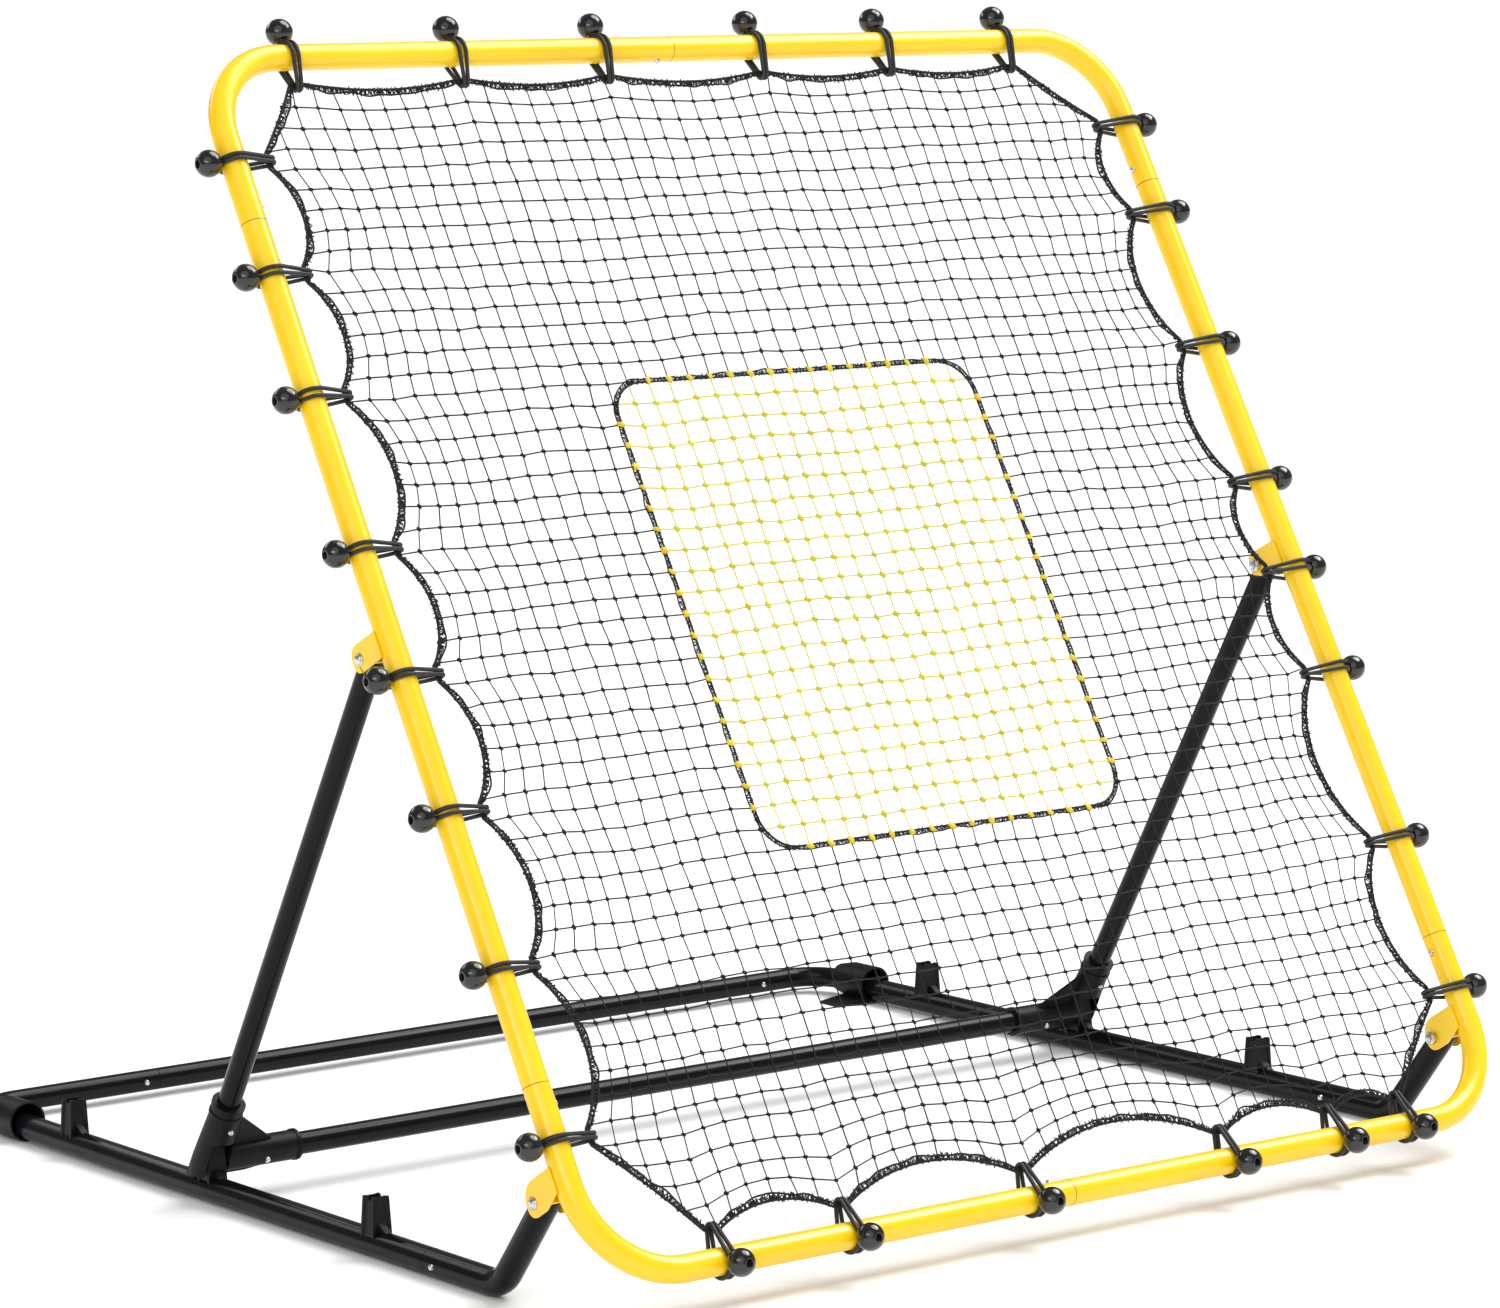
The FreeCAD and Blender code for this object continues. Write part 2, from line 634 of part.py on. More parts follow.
for side, word, seam in ((-1, "left", rear_left_seam), (1, "right", rear_right_seam)):
    elbow = new_body("rear_elbow_" + word)
    start = seam + side * seam_gap / 2
    section = new_sketch(elbow, "elbow_ring_" + word, "YZ_Plane", start)
    ring(section, (0, 0), slim_radius, slim_bore)
    spine = new_sketch(elbow, "elbow_spine_" + word, "XY_Plane")
    outline(spine, [(start, 0), (side * half_width, 0),
                    (side * half_width, hood_step - rear_bar_place)], [0, rear_bar_bend, 0],
            closed=False)
    pipe(elbow, "elbow_tube_" + word, section, spine)
    drill(elbow, "elbow_hole_" + word, button_hole, slim_diameter,
          (seam + side * button_setback, 0, 0), (1, 0, 0), 90)
    place(elbow, (0, rear_bar_place - floor_middle, rear_bar_height))

    hood = new_body("rear_hood_" + word)
    profile = new_sketch(hood, "hood_profile_" + word, "YZ_Plane")
    drop = hood_centre - rear_bar_height
    outline(profile, [(0, 0), (hood_depth + hood_neck, 0),
                      (hood_depth + hood_neck, slim_radius + hood_wall + drop),
                      (hood_depth, hood_centre), (0, hood_centre)])
    turned = hood.newObject("PartDesign::Revolution", "hood_form_" + word)
    turned.Profile = profile
    turned.ReferenceAxis = (profile, ["H_Axis"])
    turned.Angle = 360
    wedge = new_sketch(hood, "hood_wedge_" + word, "XZ_Plane", -hood_wall)
    inner = -side
    outline(wedge, [(0, -hood_centre), (inner * hood_foot_reach, -hood_centre),
                    (inner * hood_foot_reach, hood_wall - hood_centre),
                    (inner * hood_diameter / 3, hood_foot_thickness - hood_centre),
                    (0, hood_foot_thickness - hood_centre)])
    pad(hood, "hood_foot_" + word, wedge, hood_foot_length, reverse=True)
    drill(hood, "hood_mouth_bore_" + word, hood_centre - hood_wall, hood_depth - hood_wall,
          (0, 0, 0), (1, 0, 0), -90)
    drill(hood, "hood_neck_bore_" + word, slim_radius + fit_gap, 2 * hood_neck,
          (0, hood_depth - hood_neck / 2, -drop), (1, 0, 0), -90)
    place(hood, (side * half_width, hood_mouth - floor_middle, hood_centre))

# Prop: two struts, the moulded feet and the cross tube between them
for side, word in ((-1, "left"), (1, "right")):
    strut = new_body("strut_" + word)
    section = new_sketch(strut, "strut_ring_" + word, "XY_Plane", foot_seat + seat_gap)
    ring(section, (0, 0), slim_radius, slim_bore)
    pad(strut, "strut_tube_" + word, section, strut_reach + pivot_end - foot_seat - seat_gap)
    drill(strut, "strut_bolt_hole_" + word, bolt_diameter / 2 + bolt_gap, 2 * slim_diameter,
          (-slim_diameter, 0, strut_reach), (0, 1, 0), 90)
    drill(strut, "strut_button_hole_" + word, button_hole, slim_diameter,
          (0, 0, foot_button_up), (1, 0, 0), 90)
    place(strut, (side * half_width, foot_place - floor_middle, foot_height), (1, 0, 0),
          strut_turn)

foot_base = rail_height_at(foot_place) + tube_radius + seat_gap - foot_height
inner_radius = foot_bottom_diameter / 2 - foot_wall
socket_radius = foot_socket_diameter / 2
slot_half = post_base_width / 2 + foot_slot_gap

for side, word in ((-1, "left"), (1, "right")):
    foot = new_body("foot_connector_" + word)
    inner = -side
    sleeve = new_sketch(foot, "sleeve_profile_" + word, "YZ_Plane", 0, (0, 0, 1), strut_turn)
    low = -2 * foot_height
    collar = foot_collar_diameter / 2
    top = foot_top_diameter / 2
    under = foot_sleeve_height - foot_collar_pitch
    outline(sleeve, [(as_size(0), low), (foot_bottom_diameter / 2, low),
                     (foot_bottom_diameter / 2, as_size(0)),
                     (top, under - foot_collar_width), (collar, under - foot_collar_width),
                     (collar, under), (top, under),
                     (top, foot_sleeve_height - foot_collar_width),
                     (collar, foot_sleeve_height - foot_collar_width),
                     (collar, foot_sleeve_height), (as_size(0), foot_sleeve_height)])
    turned = foot.newObject("PartDesign::Revolution", "sleeve_" + word)
    turned.Profile = sleeve
    turned.ReferenceAxis = (sleeve, ["V_Axis"])
    turned.Angle = 360
    socket = new_sketch(foot, "socket_ring_" + word, "YZ_Plane")
    circle(socket, (0, 0), socket_radius)
    pad(foot, "socket_" + word, socket, foot_socket_length, reverse=side > 0)
    rim = new_sketch(foot, "socket_rim_ring_" + word, "YZ_Plane",
                     inner * (foot_socket_length - foot_collar_width))
    circle(rim, (0, 0), socket_radius + foot_wall / 3)
    pad(foot, "socket_rim_" + word, rim, foot_collar_width, reverse=side > 0)
    web = new_sketch(foot, "web_side_" + word, "XZ_Plane", 0, (1, 0, 0), strut_turn)
    outline(web, [(as_size(0), as_size(0)), (inner * foot_web_reach, as_size(0)),
                  (inner * foot_web_reach, socket_radius - foot_wall / 2),
                  (inner * top, foot_web_height), (as_size(0), foot_web_height)])
    pad(foot, "web_" + word, web, foot_web, both_ways=True)
    rib = new_sketch(foot, "rib_side_" + word, "XZ_Plane")
    outline(rib, [(as_size(0), as_size(0)), (inner * foot_web_reach, as_size(0)),
                  (inner * foot_web_reach, -socket_radius + foot_wall / 2),
                  (inner * foot_bottom_diameter, foot_base),
                  (as_size(0), foot_base)])
    pad(foot, "rib_" + word, rib, foot_web, both_ways=True)
    place_axis = ((1, 0, 0), strut_turn)
    drill(foot, "strut_bore_" + word, slim_radius + fit_gap, foot_sleeve_height,
          (0, -foot_seat * sine(strut_turn), foot_seat * cosine(strut_turn)), *place_axis)
    drill(foot, "lip_bore_" + word, slim_radius - foot_lip_width, foot_sleeve_height,
          (0, 0, 0), *place_axis)
    drill(foot, "post_bore_" + word, inner_radius, 2 * foot_height + foot_seat - foot_lip,
          (0, 2 * foot_height * sine(strut_turn), -2 * foot_height * cosine(strut_turn)),
          *place_axis)
    drill(foot, "cross_bore_" + word, slim_radius + fit_gap, foot_socket_length,
          (inner * foot_wall_end, 0, 0), (0, 1, 0), inner * 90)
    slot = new_sketch(foot, "slot_plan_" + word, "XY_Plane", foot_base)
    rear = middle_post_place - foot_place + post_base_width / 2
    outline(slot, [(-slot_half, -3 * foot_top_diameter), (slot_half, -3 * foot_top_diameter),
                   (slot_half, rear), (-slot_half, rear)])
    pocket(foot, "slot_" + word, slot, foot_slot_height, reverse=True)
    sole = new_sketch(foot, "sole_plan_" + word, "XY_Plane", foot_base)
    wide = 4 * foot_bottom_diameter
    outline(sole, [(-wide, -wide), (wide, -wide), (wide, wide), (-wide, wide)])
    pocket(foot, "sole_" + word, sole, 3 * foot_height)
    drill(foot, "sleeve_button_hole_" + word, button_hole, foot_bottom_diameter,
          (0, -foot_button_up * sine(strut_turn), foot_button_up * cosine(strut_turn)),
          (1, 0, 0), 90 + strut_turn)
    drill(foot, "socket_button_hole_" + word, button_hole, foot_bottom_diameter,
          (inner * socket_button_in, 0, 0), (1, 0, 0), 90 + socket_button_dip)
    place(foot, (side * half_width, foot_place - floor_middle, foot_height))

cross_tube = new_body("cross_tube")
cross_half = half_width - foot_wall_end - seat_gap
section = new_sketch(cross_tube, "cross_ring", "YZ_Plane", -cross_half)
ring(section, (0, 0), slim_radius, slim_bore)
pad(cross_tube, "cross_pipe", section, 2 * cross_half)
for side in (-1, 1):
    drill(cross_tube, "cross_hole_%d" % (side + 1), button_hole, slim_diameter,
          (side * (half_width - socket_button_in), 0, 0), (1, 0, 0), 90 + socket_button_dip)
place(cross_tube, (0, foot_place - floor_middle, foot_height))

doc.recompute()


# Loose hardware and soft pieces are shaped from the same sizes
def solid_node(name, solids, placement=None):
    node = doc.addObject("Part::Feature", name)
    node.Shape = solids[0] if len(solids) == 1 else Part.Compound(solids)
    node.Placement = placement or Placement()
    node.Label = name
    parts.append(node)
    return node


def number(value):
    return float(value)


def faceted(profile, sides, start, direction):
    """A turned form drawn with a few flats, from pairs of height and radius."""
    turn = Rotation(Vector(0, 0, 1), direction)
    steps = [2 * math.pi * step / sides for step in range(sides)]
    rings = [[start + turn.multVec(Vector(radius * math.cos(a), radius * math.sin(a), height))
              for a in steps] for height, radius in profile]
    outlines = [list(reversed(rings[0])), rings[-1]]
    for low, high in zip(rings, rings[1:]):
        outlines += [[low[i - 1], low[i], high[i], high[i - 1]] for i in range(sides)]
    shell = Part.makeShell([Part.Face(Part.makePolygon(line + line[:1])) for line in outlines])
    return Part.Solid(shell)


pivots = [(side, number(up), -number(back)) for side in (-1, 1)
          for up, back in ((upper_pivot_up, upper_pivot_back), (lower_pivot_up, lower_pivot_back))]
bolt_radius = number(bolt_diameter) / 2
head_radius = number(bolt_head_diameter) / 2
head_height = number(bolt_head_height)
plate_face = number(ear_gap + bracket_plate)
hair = number(touch_gap)
bolts, nuts = [], []
for side, up, low in pivots:
    outward = Vector(side, 0, 0)
    middle = Vector(side * number(half_width), up, low)
    head_seat = middle + outward * (plate_face + hair)
    nut_seat = middle - outward * (plate_face + hair)
    nut_end = nut_seat - outward * (number(nut_height) + 2)
    shank = Part.makeCylinder(bolt_radius, (head_seat - nut_end).Length, nut_end, outward)
    rim = Part.makeCylinder(head_radius, head_height / 2, head_seat, outward)
    crown = Part.makeCone(head_radius, head_radius / 2, head_height / 2,
                          head_seat + outward * (head_height / 2), outward)
    bolts.append(shank.fuse(rim).fuse(crown))
    blank = faceted([(0, number(nut_width) / math.sqrt(3)),
                     (number(nut_height), number(nut_width) / math.sqrt(3))], 6, nut_seat, -outward)
    nuts.append(blank.cut(Part.makeCylinder(bolt_radius + hair, number(nut_height), nut_seat,
                                            -outward)))
solid_node("pivot_bolts", bolts, frame_placement())
solid_node("pivot_nuts", nuts, frame_placement())

plug_bore = number(tube_bore - fit_gap)
tilt = math.radians(number(rail_tilt))
back = Vector(0, math.cos(tilt), math.sin(tilt))
plugs = []
for side in (-1, 1):
    face = Vector(side * number(half_width), number(rail_end),
                  number(rail_height_at(rail_end))) + back * hair
    nose = Part.makeCone(number(tube_radius), number(tube_radius) / 2, number(rail_nose), face, back)
    plugs.append(nose.fuse(Part.makeCylinder(plug_bore, number(tube_diameter), face, -back)))
solid_node("rail_end_plugs", plugs, floor_placement())


# Snap buttons: a blunt pin on a small flange, pushed out from inside the inner tube
def snap_button(name, inner_bore, outer_skin, spot, outward, placement=None):
    flange = number(button_flange) / 2
    pin_radius = number(button_diameter) / 2
    seat = math.sqrt(number(inner_bore) ** 2 - flange ** 2) - number(seat_gap)
    top = number(outer_skin) + number(button_proud)
    flange_back = seat - number(button_flange_thickness)
    profile = [(flange_back, flange), (seat, flange), (seat, pin_radius),
               (top - pin_radius / 3, pin_radius), (top, pin_radius / 2)]
    base = Vector(*[number(value) for value in spot])
    solid = faceted(profile, int(number(button_flats)), base, Vector(*outward).normalize())
    solid_node(name, [solid], placement or floor_placement())


spigot_bore = tube_bore - fit_gap - tube_wall
slim_spigot_bore = slim_bore - fit_gap - tube_wall
snap_button("top_snap_button", spigot_bore, tube_radius,
            (top_seam - button_setback, frame_height, 0), (0, -1, 0), frame_placement())
snap_button("bottom_snap_button", spigot_bore, tube_radius,
            (bottom_seam - button_setback, 0, 0), (0, 1, 0), frame_placement())
strut_lean = math.radians(number(strut_turn))
socket_dip = math.radians(number(socket_button_dip))
for side, word in ((-1, "left"), (1, "right")):
    snap_button("upper_snap_button_" + word, spigot_bore, tube_radius,
                (side * half_width, upper_seam + button_setback, 0), (-side, 0, 0),
                frame_placement())
    snap_button("lower_snap_button_" + word, spigot_bore, tube_radius,
                (side * half_width, lower_seam - button_setback, 0), (-side, 0, 0),
                frame_placement())
    snap_button("rail_snap_button_" + word, spigot_bore, tube_radius,
                (side * half_width, rail_button_place, rail_height_at(rail_button_place)),
                (-1, 0, 0))
    seam = (rear_left_seam if side < 0 else rear_right_seam) + side * button_setback
    snap_button("rear_snap_button_" + word, slim_spigot_bore, slim_radius,
                (seam, rear_bar_place, rear_bar_height), (0, -1, 0))
    snap_button("strut_snap_button_" + word, slim_bore, foot_top_diameter / 2,
                (side * half_width, foot_place - foot_button_up * sine(strut_turn),
                 foot_height + foot_button_up * cosine(strut_turn)),
                (0, -math.cos(strut_lean), -math.sin(strut_lean)))
    snap_button("cross_snap_button_" + word, slim_bore, socket_radius,
                (side * (half_width - socket_button_in), foot_place, foot_height),
                (0, -math.cos(socket_dip), -math.sin(socket_dip)))

# Net: a scalloped rope border, the twine net with its window, and the target net in the window
flat = Vector(0, 0, 1)
high_edge = number(frame_height - net_end_gap)
low_edge = number(net_end_gap)
side_edge = number(half_width - net_side_gap)
across, upward = Vector(1, 0, 0), Vector(0, 1, 0)
anchors = [(Vector(number(x), high_edge, 0), across, number(top_sag)) for x in top_ties]
anchors += [(Vector(side_edge, number(up), 0), -upward, number(side_sag)) for up in right_ties]
anchors += [(Vector(number(x), low_edge, 0), -across, number(bottom_sag))
            for x in reversed(bottom_ties)]
anchors += [(Vector(-side_edge, number(up), 0), upward, number(side_sag))
            for up in reversed(left_ties)]


def scallop(start, end):
    """The rope's straight land under one tie, and its slack run from there to the next tie."""
    (here, run, sag), (there, next_run, next_sag) = start, end
    if run != next_run:
        sag = next_sag = number(corner_sag)
    land = number(tie_land)
    leaving, arriving = here + run * land, there - next_run * land
    middle = (leaving + arriving) / 2
    inward = flat.cross(leaving - arriving).normalize()
    slack = (arriving - leaving).Length * (sag + next_sag) / 2
    return [Part.LineSegment(here - run * land, leaving).toShape(),
            Part.Arc(leaving, middle + inward * slack, arriving).toShape()]


rope_runs = [scallop(anchors[i - 1], anchors[i]) for i in range(len(anchors))]
rope_line = Part.Wire([edge for run in rope_runs for edge in run])
rope_half = number(rope_width) / 2
rope_outer = rope_line.makeOffset2D(rope_half, 0)
rope_inner = rope_line.makeOffset2D(-rope_half, 0)


def slab(wires, thickness):
    """A flat closed sheet, centred on the frame's plane, with the later wires as openings."""
    face = Part.Face(wires, "Part::FaceMakerBullseye")
    face.translate(Vector(0, 0, -thickness / 2))
    return face.extrude(Vector(0, 0, thickness))


solid_node("net_border", [slab([rope_outer, rope_inner], number(rope_thickness))],
           frame_placement())


def rounded_window(grow):
    wide = number(target_half_width) + grow
    low, high = number(target_low) - grow, number(target_high) + grow
    corner = number(target_corner) + grow
    spots = [Vector(-wide, low, 0), Vector(wide, low, 0), Vector(wide, high, 0),
             Vector(-wide, high, 0)]
    edges = []
    for i in range(4):
        before, spot, after = spots[i - 1], spots[i], spots[(i + 1) % 4]
        into = (before - spot).normalize() * corner
        away = (after - spot).normalize() * corner
        bulge = spot + (into + away) * (1 - math.sqrt(0.5))
        edges.append(Part.Arc(spot + into, bulge, spot + away).toShape())
        edges.append(Part.LineSegment(spot + away,
                                      after + (spot - after).normalize() * corner).toShape())
    return Part.Wire(edges)


window_outer = rounded_window(rope_half)
window_inner = rounded_window(-rope_half)
solid_node("target_border", [slab([window_outer, window_inner], number(rope_thickness))],
           frame_placement())
strand = number(strand_width)


def net_gaps(xs, ys, allowed, forbidden=None):
    """The openings between strands, trimmed to the allowed area."""
    least_area = number(smallest_gap) ** 2
    holes = []
    for left, right in zip(xs, xs[1:]):
        for low, high in zip(ys, ys[1:]):
            half = strand / 2
            corners = [Vector(left + half, low + half, 0), Vector(right - half, low + half, 0),
                       Vector(right - half, high - half, 0), Vector(left + half, high - half, 0)]
            gap = Part.Face(Part.makePolygon(corners + corners[:1]))
            trimmed = gap.common(allowed)
            if forbidden:
                trimmed = trimmed.cut(forbidden)
            holes += [face.OuterWire for face in trimmed.Faces if face.Area > least_area]
    return holes


def spread(low, high, pitch):
    count = max(1, round((high - low) / pitch))
    return [low + (high - low) * step / count for step in range(count + 1)]


rope_loop = math.hypot(rope_half, number(rope_thickness) / 2) + number(seat_gap)
cord = number(cord_diameter)


def tie_patch(spot, run, grow):
    """The room that a doubled cord takes through the net beside the rope, grown all round."""
    inward = flat.cross(run) * -1
    reach = cord + number(seat_gap) + grow
    near, far = rope_loop - number(seat_gap) - grow, rope_loop + reach
    return Part.makePolygon([spot + run * reach + inward * near, spot + run * reach + inward * far,
                             spot - run * reach + inward * far, spot - run * reach + inward * near,
                             spot + run * reach + inward * near])


net_allowed = Part.Face(rope_line.makeOffset2D(-rope_half - strand, 0))
hems = [Part.Face(tie_patch(spot, run, strand)) for spot, run, sag in anchors]
net_allowed = net_allowed.cut(hems)
tie_slots = [tie_patch(spot, run, 0) for spot, run, sag in anchors]
window_keep = Part.Face(rounded_window(rope_half + strand))
net_holes = net_gaps(spread(-side_edge, side_edge, number(net_pitch_across)),
                     spread(low_edge, high_edge, number(net_pitch_up)), net_allowed, window_keep)
solid_node("rebound_net", [slab([rope_inner, window_outer] + net_holes + tie_slots,
                                number(net_thickness))], frame_placement())
target_allowed = Part.Face(rounded_window(-rope_half - strand))
window_wide = number(target_half_width)
target_xs = spread(-window_wide, window_wide, 2 * window_wide / number(target_columns))
window_tall = number(target_high - target_low)
target_ys = spread(number(target_low), number(target_high), window_tall / number(target_rows))
target_holes = net_gaps(target_xs, target_ys, target_allowed)
solid_node("target_net", [slab([window_inner] + target_holes, number(net_thickness))],
           frame_placement())

# Ball bungees: each doubled cord goes round the tube and the border rope, with a ball outside
tube_loop = number(tube_radius + seat_gap)
ball_radius = number(ball_diameter) / 2
ball_steps = int(number(ball_flats)) // 2
ball_profile = []
for step in range(ball_steps):
    angle = math.pi * (step + 0.5) / ball_steps
    ball_profile.append((-ball_radius * math.cos(angle), ball_radius * math.sin(angle)))


def bungee(tube_spot, rope_spot, along, ball_turn):
    """A cord band round tube and rope, and the ball that hangs outside the tube."""
    toward = (rope_spot - tube_spot).normalize()
    side_way = toward.cross(along)
    gap = (rope_spot - tube_spot).Length
    open_angle = math.acos((tube_loop - rope_loop) / gap)

    def wrapped(centre, radius, first, last):
        steps = int(number(loop_steps))
        step = (last - first) / steps
        reach = radius / math.cos(step / 2)
        return [centre + (toward * math.cos(angle) + side_way * math.sin(angle)) * reach
                for angle in [first + step * (number + 0.5) for number in range(steps)]]

    spots = wrapped(tube_spot, tube_loop, open_angle, 2 * math.pi - open_angle)
    spots += wrapped(rope_spot, rope_loop, -open_angle, open_angle)
    inside = Part.makePolygon(spots + spots[:1])
    band = Part.Face([inside.makeOffset2D(cord, 2), inside], "Part::FaceMakerBullseye")
    band.translate(along * -cord)
    outward = side_way * math.sin(ball_turn) - toward * math.cos(ball_turn)
    centre = tube_spot + outward * (tube_loop + cord + ball_radius + hair)
    return band.extrude(along * (2 * cord)), faceted(ball_profile, int(number(ball_flats)), centre,
                                                     outward)


frame_top = number(frame_height)
edge = number(half_width)
side_groups = {
    "top": [(Vector(number(x), frame_top, 0), Vector(number(x), high_edge, 0), across)
            for x in top_ties],
    "left": [(Vector(-edge, number(up), 0), Vector(-side_edge, number(up), 0), upward)
             for up in left_ties],
    "right": [(Vector(edge, number(up), 0), Vector(side_edge, number(up), 0), upward)
              for up in right_ties],
    "bottom": [(Vector(number(x), 0, 0), Vector(number(x), low_edge, 0), across)
               for x in bottom_ties],
}
bungees = []
for word, ties in side_groups.items():
    ball_turn = math.radians(number(bottom_ball_turn)) if word == "bottom" else 0
    bungees += [bungee(tube_spot, rope_spot, along, ball_turn)
                for tube_spot, rope_spot, along in ties]
solid_node("bungee_loops", [loop for loop, ball in bungees], frame_placement())
solid_node("bungee_balls", [ball for loop, ball in bungees], frame_placement())

# Every piece is checked before anything is written
doc.recompute()
for item in doc.Objects:
    if "Invalid" in item.State or "Error" in item.State:
        raise RuntimeError("%s did not build: %s" % (item.Name, item.State))
for node in parts:
    if node.Shape.isNull() or not node.Shape.isValid():
        raise RuntimeError("%s has no sound shape" % node.Label)
os.makedirs("parts", exist_ok=True)
for node in parts:
    node.Shape.exportStep("parts/%s.step" % node.Label)
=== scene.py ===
import json
import math
import random

import bmesh
import bpy
from mathutils import Matrix, Vector, noise

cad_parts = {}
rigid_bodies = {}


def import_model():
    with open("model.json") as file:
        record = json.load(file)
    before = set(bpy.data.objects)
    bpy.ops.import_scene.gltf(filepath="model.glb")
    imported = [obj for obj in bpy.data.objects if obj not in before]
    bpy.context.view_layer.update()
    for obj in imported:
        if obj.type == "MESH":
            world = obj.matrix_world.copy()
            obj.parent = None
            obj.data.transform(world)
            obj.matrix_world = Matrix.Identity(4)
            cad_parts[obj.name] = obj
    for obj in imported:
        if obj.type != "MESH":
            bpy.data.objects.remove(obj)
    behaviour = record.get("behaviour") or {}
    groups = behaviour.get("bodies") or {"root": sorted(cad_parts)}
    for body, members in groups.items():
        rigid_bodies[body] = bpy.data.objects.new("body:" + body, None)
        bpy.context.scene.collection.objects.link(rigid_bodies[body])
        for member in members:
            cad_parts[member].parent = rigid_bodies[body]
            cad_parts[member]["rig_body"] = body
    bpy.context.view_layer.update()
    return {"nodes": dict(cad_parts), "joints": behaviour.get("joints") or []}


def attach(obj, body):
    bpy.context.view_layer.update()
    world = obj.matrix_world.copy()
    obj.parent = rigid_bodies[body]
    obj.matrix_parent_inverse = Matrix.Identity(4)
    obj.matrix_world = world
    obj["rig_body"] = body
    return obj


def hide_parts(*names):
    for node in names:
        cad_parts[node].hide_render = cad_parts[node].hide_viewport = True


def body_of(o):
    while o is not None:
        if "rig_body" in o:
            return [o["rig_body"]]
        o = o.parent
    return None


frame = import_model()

# The net frame is six steel tubes swaged into each other, powder coated a glossy yellow.
# It leans back 30 degrees from its bottom bar. Its own plane is measured across, up the frame
# and out of its back, in millimetres between tube centres.
frame_width = 1250
frame_height = 1370
tube_radius = 14.3
bottom_bar_height = 47
lean = math.radians(30)
pivot_behind_bar = 88.739
bar_place = next(joint["pos_m"][1] for joint in frame["joints"]
                 if joint["name"] == "frame_tilt") * 1000 - pivot_behind_bar
up_frame = Vector((0, math.sin(lean), math.cos(lean)))
out_back = Vector((0, math.cos(lean), -math.sin(lean)))


def on_frame(across, up, back=0.0):
    """A place in the frame's plane, in millimetres, as a point of the model in metres."""
    base = Vector((across, bar_place, bottom_bar_height))
    return (base + up_frame * up + out_back * back) / 1000


def on_base(across, behind_bar, height):
    """A place on the floor base, in millimetres behind the bottom bar, as a point in metres."""
    return Vector((across, bar_place + behind_bar, height)) / 1000


def lay(tree, kind, inputs=None, **options):
    """Adds a node, sets its options, and sets each input to a value or links it to an output."""
    node = tree.nodes.new(kind)
    for option, value in options.items():
        setattr(node, option, value)
    for socket, value in (inputs or {}).items():
        if isinstance(value, bpy.types.NodeSocket):
            tree.links.new(value, node.inputs[socket])
        else:
            node.inputs[socket].default_value = value
    return node


def new_group(name, kind, takes, gives):
    """An empty node group with named inputs and outputs, each with its kind of socket."""
    group = bpy.data.node_groups.new(name, kind)
    for way, sockets in (("INPUT", takes), ("OUTPUT", gives)):
        for word, socket in sockets.items():
            group.interface.new_socket(word, in_out=way, socket_type="NodeSocket" + socket)
    return group, group.nodes.new("NodeGroupInput"), group.nodes.new("NodeGroupOutput")


def mixed(tree, share, low, high):
    """A colour between two others. Each may be a value or another node's output."""
    return lay(tree, "ShaderNodeMix", {0: share, 6: low, 7: high}, data_type="RGBA").outputs[2]


def worked(tree, operation, first, second=0.0):
    """The result of a sum on one or two masks."""
    return lay(tree, "ShaderNodeMath", {0: first, 1: second}, operation=operation).outputs[0]


def noise_at(tree, scale, detail=2.0, distortion=0.0):
    """A mask of noise that stays with the piece."""
    place = lay(tree, "ShaderNodeTexCoord").outputs["Object"]
    return lay(tree, "ShaderNodeTexNoise", {"Vector": place, "Scale": scale, "Detail": detail,
                                            "Distortion": distortion}).outputs["Fac"]


def stretched(tree, mask, low, high):
    """A mask that is stretched to run from nothing at its low to all at its high."""
    return lay(tree, "ShaderNodeMapRange", {
        "Value": mask, "From Min": low, "From Max": high}).outputs["Result"]


def new_finish(name, second_colour, relief, *more):
    """An empty finish group, which takes two colours, a gloss, a relief and more numbers."""
    takes = {"Color": "Color", second_colour: "Color", "Gloss": "Float"}
    takes.update({word: "Float" for word in (relief, *more)})
    return new_group(name, "ShaderNodeTree", takes,
                     {"Color": "Color", "Roughness": "Float", "Normal": "Vector"})


def end_finish(group, given, out, colour, dull, height, relief, dulling, depth):
    """Puts out a finish's colour, its gloss, which a mask dulls, and its relief."""
    group.links.new(colour, out.inputs["Color"])
    rough = worked(group, "ADD", worked(group, "MULTIPLY", dull, dulling), given.outputs["Gloss"])
    group.links.new(rough, out.inputs["Roughness"])
    bump = lay(group, "ShaderNodeBump", {
        "Strength": given.outputs[relief], "Distance": depth, "Height": height})
    group.links.new(bump.outputs["Normal"], out.inputs["Normal"])
    return group


def sprayed_coat():
    """A baked powder coat: fine orange peel, and slow changes of shade and gloss."""
    group, given, out = new_finish("sprayed_coat", "Shade", "Peel")
    slow, fine = noise_at(group, 7.0, 3.0), noise_at(group, 420.0, 1.0)
    colour = mixed(group, stretched(group, slow, 0.35, 0.65), given.outputs["Shade"],
                   given.outputs["Color"])
    return end_finish(group, given, out, colour, slow, fine, "Peel", dulling=0.12,
                      depth=0.0006)


def surface(name, group, takes, **shader_values):
    """A material whose colour, roughness and relief come from a group with its own values."""
    material = bpy.data.materials.new(name)
    material.use_nodes = True
    tree = material.node_tree
    shader = tree.nodes["Principled BSDF"]
    finish = lay(tree, "ShaderNodeGroup", node_tree=group)
    for word, value in takes.items():
        finish.inputs[word].default_value = (*value, 1) if isinstance(value, tuple) else value
    for given, taken in (("Color", "Base Color"), ("Roughness", "Roughness"),
                         ("Normal", "Normal")):
        tree.links.new(finish.outputs[given], shader.inputs[taken])
    for word, value in shader_values.items():
        shader.inputs[word.replace("_", " ")].default_value = value
    return material


